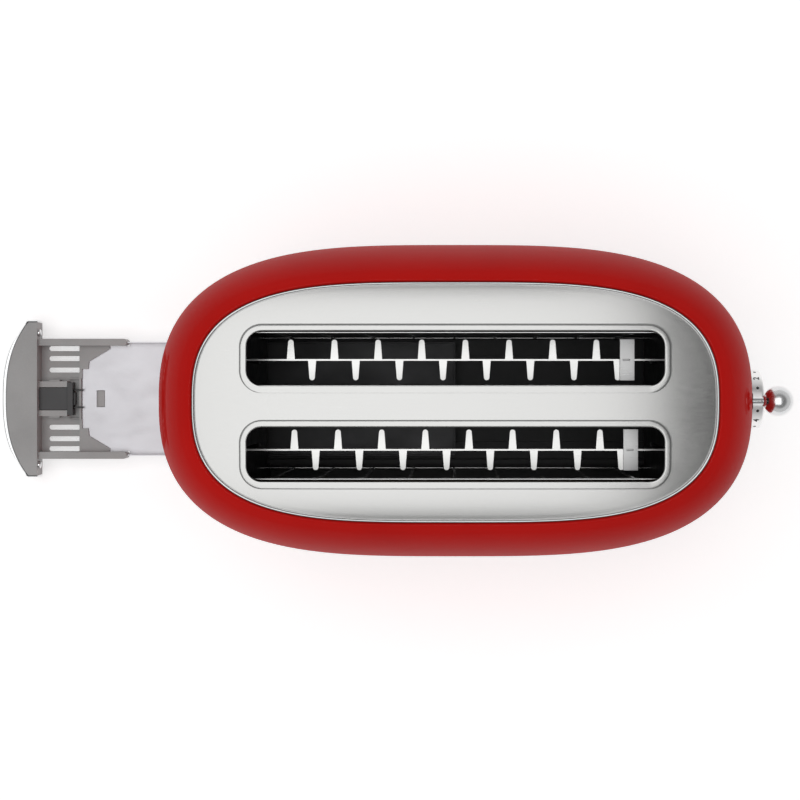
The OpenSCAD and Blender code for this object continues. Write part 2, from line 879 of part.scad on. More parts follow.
module control_panel() {
    color("silver")
        difference() {
            intersection() {
                wall_patch(panel_half_width + 4, panel_low - 2, panel_high + 2, panel_proud, panel_thick);
                translate([half_length - 40, 0, (panel_low + panel_high) / 2])
                    rotate([90, 0, 90])
                        linear_extrude(60)
                            rounded_rect(2 * panel_half_width, panel_high - panel_low, panel_corner);
            }
            rod_along_x(half_length - 40, half_length + 20, 0, dial_height, shaft_radius + 0.4);
            for (y = [-1, 1], z = [-1, 1])
                rod_along_x(half_length - 40, half_length + 20, y * button_y, button_z + z * button_dz,
                    button_radius + button_gap);
        }
}

module lever_slot_liner() {
    height = slot_z1 - slot_z0;
    color("black")
        difference() {
            intersection() {
                wall_patch(lever_slot_width, slot_z0 - 4, slot_z1 + 4, liner_proud, 3, 4, 16);
                translate([half_length - 60, 0, (slot_z0 + slot_z1) / 2])
                    rotate([90, 0, 90])
                        linear_extrude(80)
                            rounded_rect(lever_slot_width + 2 * liner_wall, height + 2 * liner_wall,
                                lever_slot_width / 2);
            }
            block([half_length - 60, -lever_slot_width / 2, slot_z0],
                [half_length + 20, lever_slot_width / 2, slot_z1]);
        }
}

dial_back = wall_x(0, dial_height + dial_radius) + panel_proud + 0.3;
dial_wall = 2;

module dial_ring() {
    length = dial_reach - dial_back;
    color("silver")
        translate([dial_back, 0, dial_height])
            rotate([90, 0, 90])
                rotate_extrude($fn = 96)
                    polygon([
                        [dial_radius - dial_wall, 0], [dial_radius, 0], [dial_radius, length - 2],
                        [dial_radius - 0.6, length - 0.8], [dial_radius - 2, length],
                        [dial_radius - 4.5, length], [dial_radius - 4.5, length - 3],
                        [dial_radius - dial_wall, length - 3]]);
}

module dial_cap() {
    length = dial_reach - dial_back;
    r = dial_radius - 4.7;
    bore = shaft_radius + 0.02;
    color("gainsboro")
        translate([dial_back, 0, dial_height])
            rotate([90, 0, 90])
                rotate_extrude($fn = 96)
                    polygon([
                        [bore, 1.5], [shaft_radius + 3, 1.5], [shaft_radius + 3, length - 5],
                        [dial_radius - dial_wall - 0.2, length - 5], [dial_radius - dial_wall - 0.2, length - 3.2],
                        [r, length - 3], [r, length - 1.5], [r - 4, length - 0.8], [0, length - 0.4],
                        [0, length - 3], [bore, length - 3]]);
}

module dial_shaft() {
    color("gray")
        rod_along_x(board_x + board_thick + 2.4, dial_reach - 3.2, 0, dial_height, shaft_radius);
}

module button(y, z) {
    face = wall_x(y, z) + panel_proud + 2;
    flange = face - 6.8;
    color("silver") {
        rod_along_x(flange, face - 0.8, y, z, button_radius);
        translate([face - 0.8, y, z])
            rotate([0, 90, 0])
                cylinder(h = 0.8, r1 = button_radius, r2 = button_radius - 0.8);
        rod_along_x(flange - 1, flange, y, z, button_radius + 0.9);
        rod_along_x(switch_face + button_travel + 0.2, flange, y, z, 2);
    }
}

// Crumb tray, drawn tray_out past its closed place

module tray_runners() {
    inner = tray_width / 2 + tray_gap;
    color("dimgray")
        for (side = [-1, 1]) {
            y0 = min(side * inner, side * (inner + 3));
            low0 = min(side * (inner - 6), side * (inner + 1));
            high0 = min(side * (inner - 12), side * (inner - 6));
            block([tray_chord_x + 3, y0, floor_top], [runner_end, y0 + 3, tray_low + 12]);
            block([tray_chord_x + 3, low0, floor_top], [runner_end, low0 + 7, floor_top + 1.2]);
            // Inner ledge, which carries the pan
            block([tray_floor_x + 4, high0, floor_top], [runner_end, high0 + 6, pan_floor - tray_gap]);
        }
}

module tray_place() {
    translate([-tray_out, 0, 0])
        children();
}

pan_floor = tray_low + 2;
pan_half = tray_width / 2 - 2.2;
pan_wall = 8;
pan_window = [pan_x0 + 10, 5.8, 5.9];
rail_inner = tray_width / 2 - rail_w - 0.2;

module tray_pan() {
    color("lavender")
        tray_place()
            difference() {
                union() {
                    block([pan_x0, -pan_half, pan_floor], [pan_x1, pan_half, pan_floor + pan_thick]);
                    for (side = [-1, 1])
                        block([rail_end_x + 0.4, min(side * pan_half, side * (pan_half - pan_thick)), pan_floor],
                            [pan_x1, max(side * pan_half, side * (pan_half - pan_thick)), pan_floor + pan_wall]);
                    block([pan_x1 - pan_thick, -pan_half, pan_floor], [pan_x1, pan_half, pan_floor + pan_wall]);
                }
                block([pan_window[0], -pan_window[2], pan_floor - 1],
                    [pan_window[0] + pan_window[1], pan_window[2], pan_floor + 2]);
                // Room for the two side rails of the handle
                for (side = [-1, 1])
                    block([pan_x0 - 1, min(side * (pan_half + 1), side * rail_inner), pan_floor - 1],
                        [rail_end_x + 0.3, max(side * (pan_half + 1), side * rail_inner), pan_floor + 2]);
            }
}

latch_half = 7.8;
latch_x1 = tray_chord_x + 19.6;
frame_y = 14.2;
frame_in = 8.1;
frame_out = 12.2;

// Plan of the front of the tray: the base band's own curve, cut off at the chord
module tray_front_plan(inward, half_width) {
    intersection() {
        polygon(outline(band_half_length - inward, band_half_depth - inward));
        translate([tray_front_x - 10, -half_width])
            square([tray_chord_x - tray_front_x + 10, 2 * half_width]);
    }
}

module tray_block() {
    step = pan_floor + pan_thick + 0.1;
    land_top = step + 1.6;
    half = tray_width / 2;
    trim_in = band_wall + 0.1;
    color("darkgray")
        tray_place()
            difference() {
                union() {
                    // Front, hollow from below
                    difference() {
                        translate([0, 0, tray_low])
                            linear_extrude(tray_top - tray_low)
                                tray_front_plan(trim_in, tray_front_width / 2 - trim_in);
                        translate([0, 0, tray_low - 1])
                            linear_extrude(tray_top - tray_low - 1)
                                intersection() {
                                    tray_front_plan(trim_in + 2, tray_front_width / 2 - trim_in - 2);
                                    translate([tray_front_x - 5, -60])
                                        square([tray_chord_x - tray_front_x + 3, 120]);
                                }
                    }
                    // Floor with drain slots
                    block([tray_chord_x - 1, -half + 1, tray_low], [tray_floor_x, half - 1, tray_low + 1.6]);
                    // Tongue below the pan, with the clip that stands in the pan's window
                    block([tray_floor_x - 1, -18, tray_low], [pan_window[0] + 12, 18, pan_floor - 0.1]);
                    block([pan_window[0] + 1.2, -pan_window[2] + 0.6, tray_low],
                        [pan_window[0] + pan_window[1] - 0.3, pan_window[2] - 0.6, pan_floor + pan_thick - 0.2]);
                    // Side rails with rounded ends
                    for (side = [-1, 1])
                        translate([0, side * (half - rail_w / 2), tray_low]) {
                            translate([tray_chord_x - 1, -rail_w / 2, 0])
                                cube([rail_end_x - tray_chord_x - 1.4, rail_w, 11]);
                            translate([rail_end_x - rail_w / 2, 0, 0])
                                cylinder(h = 11, r = rail_w / 2);
                        }
                    // Stepped lands that hold the pan's edge down
                    for (side = [-1, 1])
                        translate([0, 0, step])
                            linear_extrude(land_top - step)
                                polygon([
                                    [tray_floor_x - 1, side * (half - 2)], [tray_floor_x - 1, side * frame_y],
                                    [tray_floor_x + 0.4, side * frame_y], [tray_floor_x + 0.4, side * 20.8],
                                    [tray_floor_x + 4.6, side * 20.8], [tray_floor_x + 5.2, side * 26.1],
                                    [tray_floor_x + 19.8, side * 34.9], [tray_floor_x + 19.8, side * (half - 2)]]);
                    // Wall between the slotted floor and the lands
                    block([tray_floor_x - 1.4, -half + 1, tray_low], [tray_floor_x, half - 1, land_top]);
                    // Latch frame
                    for (side = [-1, 1])
                        block([tray_chord_x - 1, min(side * frame_in, side * frame_out), tray_low],
                            [latch_x1 + 0.5, max(side * frame_in, side * frame_out), tray_low + 9]);
                    for (side = [-1, 1])
                        block([tray_chord_x + 7, min(side * frame_out, side * (frame_out + 1)), tray_low],
                            [tray_chord_x + 14, max(side * frame_out, side * (frame_out + 1)), tray_low + 8]);
                    block([latch_x1, -frame_y, tray_low], [tray_floor_x, frame_y, tray_low + 5]);
                }
                // Well round the latch's crossbar and jaws
                block([latch_x1, 0.4 - frame_y, tray_low + 1.6], [tray_floor_x - 1.4, frame_y - 0.4, tray_low + 10]);
                // Drain slots
                for (side = [-1, 1], y = [20.1, 28.2, 35.2])
                    translate([tray_chord_x + 5, side * y, tray_low - 1])
                        linear_extrude(4)
                            hull() {
                                translate([1.7, 0])
                                    circle(1.7, $fn = 24);
                                translate([22, 0])
                                    circle(1.7, $fn = 24);
                            }
                // Seats of the trim studs
                for (side = [-1, 1])
                    rod_along_x(tray_chord_x - 8, tray_chord_x + 1, side * stud_y, stud_z, stud_radius + 0.1);
            }
}

stud_y = 46;
stud_z = tray_top - 4;
stud_radius = 1.8;

module tray_front_trim() {
    lip = 3;
    color("silver")
        tray_place() {
            translate([0, 0, tray_low])
                linear_extrude(tray_top - tray_low - 1)
                    difference() {
                        tray_front_plan(0, tray_front_width / 2);
                        tray_front_plan(band_wall, tray_front_width / 2 - band_wall);
                    }
            translate([0, 0, tray_top - 7])
                linear_extrude(3)
                    intersection() {
                        difference() {
                            polygon(outline(band_half_length + lip, band_half_depth + lip));
                            polygon(outline(band_half_length - 0.3, band_half_depth - 0.3));
                        }
                        translate([tray_front_x - 10, -43.8])
                            square([40, 87.6]);
                    }
        }
}

module trim_studs() {
    color("silver")
        tray_place()
            for (side = [-1, 1]) {
                rod_along_x(tray_chord_x - 8, tray_chord_x, side * stud_y, stud_z, stud_radius);
                rod_along_x(tray_chord_x, tray_chord_x + 2, side * stud_y, stud_z, stud_radius + 0.7);
            }
}

latch_mouth = 6.9;
jaw_half = 6.6;
jaw_low = tray_low + 4;
jaw_high = tray_low + 7.6;

module tray_latch() {
    color("dimgray")
        tray_place()
            difference() {
                union() {
                    block([tray_chord_x + 0.1, -latch_half, tray_low + 1.6], [latch_x1, latch_half, tray_low + 9]);
                    block([latch_x1, -11.4, tray_low + 1.6], [latch_x1 + 4, 11.4, tray_low + 9.6]);
                }
                block([tray_chord_x + 7.5, -latch_mouth, jaw_low - 0.3], [latch_x1 + 5, latch_mouth, jaw_high + 0.3]);
            }
}

// Sprung jaws, which slide back into the latch when the tray is pushed home
module tray_latch_jaw() {
    color("black")
        tray_place() {
            block([tray_chord_x + 12, -jaw_half, jaw_low], [latch_x1 + 0.5, jaw_half, jaw_high]);
            block([latch_x1, -4.4, jaw_low], [latch_x1 + 5.6, 4.4, jaw_high]);
            for (side = [-1, 1])
                block([latch_x1, min(side * 5.5, side * jaw_half), jaw_low + 1],
                    [latch_x1 + 10.6, max(side * 5.5, side * jaw_half), jaw_high - 1]);
        }
}

// Mains leads inside the base, from the gland to the circuit board
lead_points = [
    [gland_x + 1.3, base_half_depth - 9.2, gland_z],
    [gland_x + 1.3, base_half_depth - 12.4, gland_z - 0.5],
    [gland_x + 3, base_half_depth - 16.4, gland_z - 3],
    [gland_x + 8, 71, 13], [80, 69, 12.2], [100, 68, 12.2], [122, 67, 12.2],
    [board_x - 28, 64, 12.2], [board_x - 14, 54, 13], [board_x - 7, 46, 14],
    [board_x - 4.6, 40, 17], [board_x - 4, 37, 24], [board_x - 3.8, 36.4, 31],
    [board_x - 2.4, 36, 35], [board_x - 1.2, 35.6, 40]
];
lead_set = 2.6;

module mains_leads() {
    color("saddlebrown")
        for (k = [0, 1])
            swept_wire([for (p = lead_points) p - k * [lead_set, lead_set, 0]], 1.1);
}

outer_shell();
top_trim();
top_plate();
base_band();
base_plate();
feet();
base_screws();
cord_gland();
end_plate_left();
end_plate_right();
reflector(-1);  // reflector_front
reflector(1);  // reflector_back
heater_board(0);  // heater_board_front
heater_board(1);  // heater_board_centre
heater_board(2);  // heater_board_back
heater_winding(0);  // heater_winding_front
heater_winding(1);  // heater_winding_centre
heater_winding(2);  // heater_winding_back
bread_guide(slots[0] - guide_y);  // guide_front_outer
bread_guide(slots[0] + guide_y);  // guide_front_inner
bread_guide(slots[1] - guide_y);  // guide_back_inner
bread_guide(slots[1] + guide_y);  // guide_back_outer
bread_rail(slots[0], front_rail_set);  // bread_rail_front
bread_rail(slots[1], 0);  // bread_rail_back
rail_saddles();
carriage_bracket();
keeper_plate();
lever_arm();
lever_knob();
guide_rods();
return_springs();
top_bracket();
bottom_bracket();
magnet_core();
magnet_coil();
circuit_board();
board_components();
potentiometer();
button_switches();
control_panel();
lever_slot_liner();
dial_ring();
dial_cap();
dial_shaft();
button(-button_y, button_z - button_dz);  // button_stop
button(-button_y, button_z + button_dz);  // button_reheat
button(button_y, button_z + button_dz);  // button_defrost
button(button_y, button_z - button_dz);  // button_bagel
tray_runners();
tray_pan();
tray_block();
tray_front_trim();
tray_latch();
tray_latch_jaw();
trim_studs();
mains_leads();
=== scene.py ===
"""Visual model of a pop-up toaster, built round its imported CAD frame.

Metres, +Z up, +X at the lever end, -X where the crumb tray comes out.
"""

from __future__ import annotations

import logging
import math
from dataclasses import dataclass, field
from enum import Enum
from typing import Callable, Iterable, Sequence

import bmesh
import bpy
from mathutils import Matrix, Vector


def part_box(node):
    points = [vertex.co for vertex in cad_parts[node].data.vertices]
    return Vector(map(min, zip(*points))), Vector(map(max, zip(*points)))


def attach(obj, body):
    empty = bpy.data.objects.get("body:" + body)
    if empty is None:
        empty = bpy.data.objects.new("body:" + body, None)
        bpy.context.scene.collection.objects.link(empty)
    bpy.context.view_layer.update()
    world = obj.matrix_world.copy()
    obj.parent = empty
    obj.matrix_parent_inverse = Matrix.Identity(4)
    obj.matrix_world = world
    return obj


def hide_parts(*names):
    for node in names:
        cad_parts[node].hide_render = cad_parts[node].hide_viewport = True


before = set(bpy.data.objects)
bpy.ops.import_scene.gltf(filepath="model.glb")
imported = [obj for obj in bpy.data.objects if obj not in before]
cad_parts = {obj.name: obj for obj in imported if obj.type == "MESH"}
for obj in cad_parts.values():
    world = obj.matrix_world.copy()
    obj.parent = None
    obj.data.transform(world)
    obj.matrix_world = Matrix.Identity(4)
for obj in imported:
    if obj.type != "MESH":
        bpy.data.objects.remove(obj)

LOG = logging.getLogger("toaster")
MM = 0.001
TAU = 2.0 * math.pi

Ring = list[Vector]
Colour = tuple[float, float, float]
Socket = bpy.types.NodeSocket
Piece = bpy.types.Object


# ---------------------------------------------------------------- materials


class Kit:
    """Shorthand for building one material's nodes."""

    def __init__(self, name: str) -> None:
        """Start an empty node material.

        Args:
            name: the material's name.
        """
        self.material = bpy.data.materials.new(name)
        self.material.use_nodes = True
        self.tree = self.material.node_tree
        self.tree.nodes.clear()
        self.output = self.tree.nodes.new("ShaderNodeOutputMaterial")
        self.shader = self.tree.nodes.new("ShaderNodeBsdfPrincipled")
        self.tree.links.new(self.shader.outputs[0], self.output.inputs[0])
        self.coords = self.tree.nodes.new("ShaderNodeTexCoord")

    def link(self, source: Socket, target: Socket) -> None:
        """Join two sockets."""
        self.tree.links.new(source, target)

    def constant(self, **values: float | tuple[float, ...]) -> None:
        """Set plain values on the shader's own sockets.

        Args:
            values: socket names with underscores for spaces.
        """
        for key, value in values.items():
            self.shader.inputs[key.replace("_", " ")].default_value = value

    def place(self, scale: Sequence[float] = (1, 1, 1)) -> Socket:
        """Object coordinates through a mapping.

        Args:
            scale: stretch along each axis.

        Returns:
            The mapped vector.
        """
        mapping = self.tree.nodes.new("ShaderNodeMapping")
        mapping.inputs["Scale"].default_value = scale
        self.link(self.coords.outputs["Object"], mapping.inputs["Vector"])
        return mapping.outputs[0]

    def noise(self, vector: Socket, scale: float, detail: float = 3.0, rough: float = 0.5) -> Socket:
        """Fractal noise.

        Args:
            vector: where it is read.
            scale: features per metre.
            detail: octaves.
            rough: share of the finer octaves.

        Returns:
            The noise value.
        """
        node = self.tree.nodes.new("ShaderNodeTexNoise")
        node.inputs["Scale"].default_value = scale
        node.inputs["Detail"].default_value = detail
        node.inputs["Roughness"].default_value = rough
        self.link(vector, node.inputs["Vector"])
        return node.outputs["Fac"]

    def cells(self, vector: Socket, scale: float, edges: bool = False) -> Socket:
        """Crystal-like cells.

        Args:
            vector: where it is read.
            scale: cells per metre.
            edges: give the distance to the cell's edge, in place of its shade.

        Returns:
            The cell value.
        """
        node = self.tree.nodes.new("ShaderNodeTexVoronoi")
        node.feature = "DISTANCE_TO_EDGE" if edges else "F1"
        node.inputs["Scale"].default_value = scale
        self.link(vector, node.inputs["Vector"])
        return node.outputs["Distance"]

    def bands(self, axis: str, scale: float, wobble: float = 0.0) -> Socket:
        """Parallel bands.

        Args:
            axis: the axis that they repeat along.
            scale: bands per metre, roughly.
            wobble: how far they waver.

        Returns:
            The band value.
        """
        node = self.tree.nodes.new("ShaderNodeTexWave")
        node.bands_direction = axis
        node.inputs["Scale"].default_value = scale
        node.inputs["Distortion"].default_value = wobble
        self.link(self.coords.outputs["Object"], node.inputs["Vector"])
        return node.outputs["Fac"]

    def axis(self, letter: str) -> Socket:
        """One object coordinate.

        Args:
            letter: X, Y or Z.

        Returns:
            The coordinate.
        """
        node = self.tree.nodes.new("ShaderNodeSeparateXYZ")
        self.link(self.coords.outputs["Object"], node.inputs[0])
        return node.outputs[letter]

    def span(self, value: Socket, low: float, high: float, to_low: float, to_high: float) -> Socket:
        """Map a value from one range to another, held at its ends.

        Args:
            value: what is mapped.
            low: start of its range.
            high: end of its range.
            to_low: result at the start.
            to_high: result at the end.

        Returns:
            The mapped value.
        """
        node = self.tree.nodes.new("ShaderNodeMapRange")
        for key, number in zip(("From Min", "From Max", "To Min", "To Max"), (low, high, to_low, to_high)):
            node.inputs[key].default_value = number
        self.link(value, node.inputs["Value"])
        return node.outputs["Result"]

    def combine(self, a: Socket, b: Socket, how: str = "ADD") -> Socket:
        """Combine two values.

        Args:
            a: the first value.
            b: the second value.
            how: what is done with them.

        Returns:
            The result.
        """
        node = self.tree.nodes.new("ShaderNodeMath")
        node.operation = how
        self.link(a, node.inputs[0])
        self.link(b, node.inputs[1])
        return node.outputs[0]

    def colour(self, value: Socket, *stops: tuple[float, Colour]) -> None:
        """Colour the surface from a value.

        Args:
            value: from 0 to 1.
            stops: places and linear colours.
        """
        node = self.tree.nodes.new("ShaderNodeValToRGB")
        ramp = node.color_ramp
        while len(ramp.elements) < len(stops):
            ramp.elements.new(0.5)
        for element, (place, colour) in zip(ramp.elements, stops):
            element.position = place
            element.color = (*colour, 1.0)
        self.link(value, node.inputs[0])
        self.link(node.outputs[0], self.shader.inputs["Base Color"])

    def sheen(self, value: Socket, low: float, high: float, at_low: float, at_high: float) -> None:
        """Set the roughness from a value, mapped as span does."""
        self.link(self.span(value, low, high, at_low, at_high), self.shader.inputs["Roughness"])

    def bump(self, height: Socket, depth: float, strength: float) -> None:
        """Raise the surface by a height pattern.

        Args:
            height: the pattern, from 0 to 1.
            depth: its full height, in metres.
            strength: how much of it shows.
        """
        node = self.tree.nodes.new("ShaderNodeBump")
        node.inputs["Distance"].default_value = depth
        node.inputs["Strength"].default_value = strength
        self.link(height, node.inputs["Height"])
        self.link(node.outputs[0], self.shader.inputs["Normal"])


@dataclass(frozen=True)
class Finish:
    """A surface finish. Colours are linear.

    Attributes:
        name: the finish's name.
        slot: the record's material slot; not used by this script.
        colour: its main colour.
        roughness: its middle roughness.
    """

    name: str
    slot: str
    colour: Colour
    roughness: float

    def material(self) -> bpy.types.Material:
        """Return the finish's material, made once.

        Returns:
            The material.
        """
        found = bpy.data.materials.get(self.name)
        if found is None:
            kit = Kit(self.name)
            self.paint(kit)
            found = kit.material
        return found

    def shade(self, amount: float) -> Colour:
        """Return the colour times an amount."""
        r, g, b = (min(1.0, c * amount) for c in self.colour)
        return r, g, b

    def paint(self, kit: Kit) -> None:
        """Build the nodes.

        Args:
            kit: the material being built.
        """
        raise NotImplementedError


@dataclass(frozen=True)
class Enamel(Finish):
    """Deep glossy enamel with a faint orange peel."""

    def paint(self, kit: Kit) -> None:
        """Build the nodes.

        Args:
            kit: the material being built.
        """
        cloud = kit.noise(kit.place(), 14.0, 4.0)
        kit.colour(cloud, (0.3, self.shade(0.95)), (0.7, self.shade(1.05)))
        haze = kit.noise(kit.place(), 60.0, 5.0, 0.6)
        kit.sheen(haze, 0.35, 0.7, self.roughness * 0.85, self.roughness * 1.25)
        kit.constant(Coat_Weight=0.12, Coat_Roughness=0.03, Coat_IOR=1.45, Specular_IOR_Level=0.0)
        peel = kit.noise(kit.place(), 420.0, 1.0)
        kit.bump(peel, 0.00002, 0.35)


@dataclass(frozen=True)
class BrushedMetal(Finish):
    """Metal brushed in fine lines along one axis.

    Attributes:
        grain: stretch of the lines along X, Y and Z.
        contrast: how far the lines change the shade.
    """

    grain: tuple[float, float, float] = (25.0, 2600.0, 2600.0)
    contrast: float = 0.05

    def paint(self, kit: Kit) -> None:
        """Build the nodes.

        Args:
            kit: the material being built.
        """
        lines = kit.noise(kit.place(self.grain), 1.0, 4.0, 0.65)
        wear = kit.noise(kit.place(), 22.0, 3.0)
        both = kit.combine(kit.span(lines, 0.25, 0.75, 0.0, 0.7), kit.span(wear, 0.3, 0.7, 0.0, 0.3))
        kit.colour(both, (0.1, self.shade(1.0 - self.contrast)), (0.9, self.shade(1.0 + self.contrast)))
        kit.sheen(both, 0.1, 0.9, self.roughness * 0.85, self.roughness * 1.15)
        kit.constant(Metallic=1.0)
        kit.bump(lines, 0.00001, 0.25)


@dataclass(frozen=True)
class Polished(Finish):
    """Bright plating with faint wiping marks."""

    def paint(self, kit: Kit) -> None:
        """Build the nodes.

        Args:
            kit: the material being built.
        """
        smear = kit.noise(kit.place((1.0, 1.0, 3.0)), 45.0, 5.0, 0.6)
        kit.colour(smear, (0.3, self.shade(0.94)), (0.7, self.shade(1.03)))
        kit.sheen(smear, 0.35, 0.75, self.roughness * 0.6, self.roughness * 1.6)
        kit.constant(Metallic=1.0)
        ripple = kit.noise(kit.place(), 70.0, 1.0)
        kit.bump(ripple, 0.00003, 0.25)


@dataclass(frozen=True)
class Moulded(Finish):
    """Moulded plastic or rubber with a fine spark-eroded texture.

    Attributes:
        texture: grains per metre.
        depth: height of the grain, in metres.
    """

    texture: float = 1500.0
    depth: float = 0.00006

    def paint(self, kit: Kit) -> None:
        """Build the nodes.

        Args:
            kit: the material being built.
        """
        cloud = kit.noise(kit.place(), 30.0, 4.0)
        grain = kit.noise(kit.place(), self.texture, 2.0, 0.6)
        both = kit.combine(kit.span(cloud, 0.3, 0.7, 0.0, 0.6), kit.span(grain, 0.3, 0.7, 0.0, 0.4))
        kit.colour(both, (0.1, self.shade(0.86)), (0.9, self.shade(1.12)))
        kit.sheen(grain, 0.3, 0.7, self.roughness * 0.88, self.roughness * 1.1)
        kit.bump(grain, self.depth, 0.5)


@dataclass(frozen=True)
class Galvanised(Finish):
    """Zinc-coated sheet with a soft crystal pattern."""

    def paint(self, kit: Kit) -> None:
        """Build the nodes.

        Args:
            kit: the material being built.
        """
        spangle = kit.cells(kit.place(), 160.0)
        grime = kit.noise(kit.place(), 18.0, 5.0, 0.6)
        both = kit.combine(kit.span(spangle, 0.0, 0.9, 0.0, 0.5), kit.span(grime, 0.3, 0.7, 0.0, 0.5))
        kit.colour(both, (0.1, self.shade(0.75)), (0.9, self.shade(1.15)))
        kit.sheen(both, 0.1, 0.9, self.roughness * 1.15, self.roughness * 0.85)
        kit.constant(Metallic=1.0)
        kit.bump(grime, 0.00004, 0.3)


@dataclass(frozen=True)
class PanSheet(Finish):
    """Smooth plated sheet with painted shade that darkens it towards its far end, where it lies inside the
    toaster.

    Attributes:
        unshaded_x: where the plain sheet ends.
        painted_shade_x: where the painted shade has come to full depth.
    """

    unshaded_x: float = -0.19
    painted_shade_x: float = -0.16

    def paint(self, kit: Kit) -> None:
        """Build the nodes.

        Args:
            kit: the material being built.
        """
        cloud = kit.noise(kit.place((1.0, 2.0, 1.0)), 26.0, 5.0, 0.6)
        # painted shade: the sheet darkens along X to near black where it lies inside the shell
        along = kit.span(kit.axis("X"), self.unshaded_x, self.painted_shade_x, 0.0, 0.75)
        both = kit.combine(along, kit.span(cloud, 0.3, 0.7, 0.0, 0.07))
        kit.colour(both, (0.0, self.shade(1.03)), (0.22, self.shade(0.97)),
                   (0.75, self.shade(0.1)), (1.0, self.shade(0.06)))
        kit.sheen(cloud, 0.3, 0.7, self.roughness * 0.85, self.roughness * 1.2)
        kit.constant(Metallic=0.55)
        kit.bump(kit.noise(kit.place((60.0, 900.0, 900.0)), 1.0, 3.0), 0.00001, 0.3)


@dataclass(frozen=True)
class Mica(Finish):
    """Flaky mineral sheet, coloured dark brown as painted shade for the inside of the toaster."""

    def paint(self, kit: Kit) -> None:
        """Build the nodes.

        Args:
            kit: the material being built.
        """
        flakes = kit.noise(kit.place((1.0, 1.0, 1.6)), 220.0, 5.0, 0.7)
        mottle = kit.noise(kit.place(), 25.0, 3.0)
        both = kit.combine(kit.span(flakes, 0.3, 0.7, 0.0, 0.55), kit.span(mottle, 0.3, 0.7, 0.0, 0.45))
        kit.colour(both, (0.1, self.shade(0.5)), (0.55, self.colour), (0.95, self.shade(1.7)))
        kit.sheen(flakes, 0.3, 0.7, self.roughness, self.roughness * 1.3)
        kit.bump(flakes, 0.0001, 0.5)


@dataclass(frozen=True)
class Wound(Finish):
    """Lacquered wire wound in even turns.

    Attributes:
        turns: how closely the turns follow each other along Z.
    """

    turns: float = 437.5

    def paint(self, kit: Kit) -> None:
        """Build the nodes.

        Args:
            kit: the material being built.
        """
        turns = kit.bands("Z", self.turns, 0.2)
        kit.colour(turns, (0.0, self.shade(0.35)), (0.6, self.colour), (1.0, self.shade(1.3)))
        kit.sheen(turns, 0.0, 1.0, self.roughness * 1.3, self.roughness)
        kit.bump(turns, 0.0003, 0.8)


@dataclass(frozen=True)
class Board(Finish):
    """Circuit board lacquer over copper tracks."""

    def paint(self, kit: Kit) -> None:
        """Build the nodes.

        Args:
            kit: the material being built.
        """
        tracks = kit.cells(kit.place(), 110.0, edges=True)
        kit.colour(kit.span(tracks, 0.02, 0.05, 0.0, 1.0), (0.0, self.shade(2.0)), (1.0, self.colour))
        cloud = kit.noise(kit.place(), 90.0, 3.0)
        kit.sheen(cloud, 0.3, 0.7, self.roughness * 0.8, self.roughness * 1.2)
        kit.bump(tracks, 0.00005, 0.4)


@dataclass(frozen=True)
class Ink(Finish):
    """Printed mark with a slightly uneven edge and sheen."""

    def paint(self, kit: Kit) -> None:
        """Build the nodes.

        Args:
            kit: the material being built.
        """
        fleck = kit.noise(kit.place(), 2500.0, 2.0)
        kit.colour(fleck, (0.3, self.shade(0.7)), (0.7, self.shade(1.5)))
        kit.sheen(fleck, 0.3, 0.7, self.roughness * 0.8, self.roughness * 1.2)


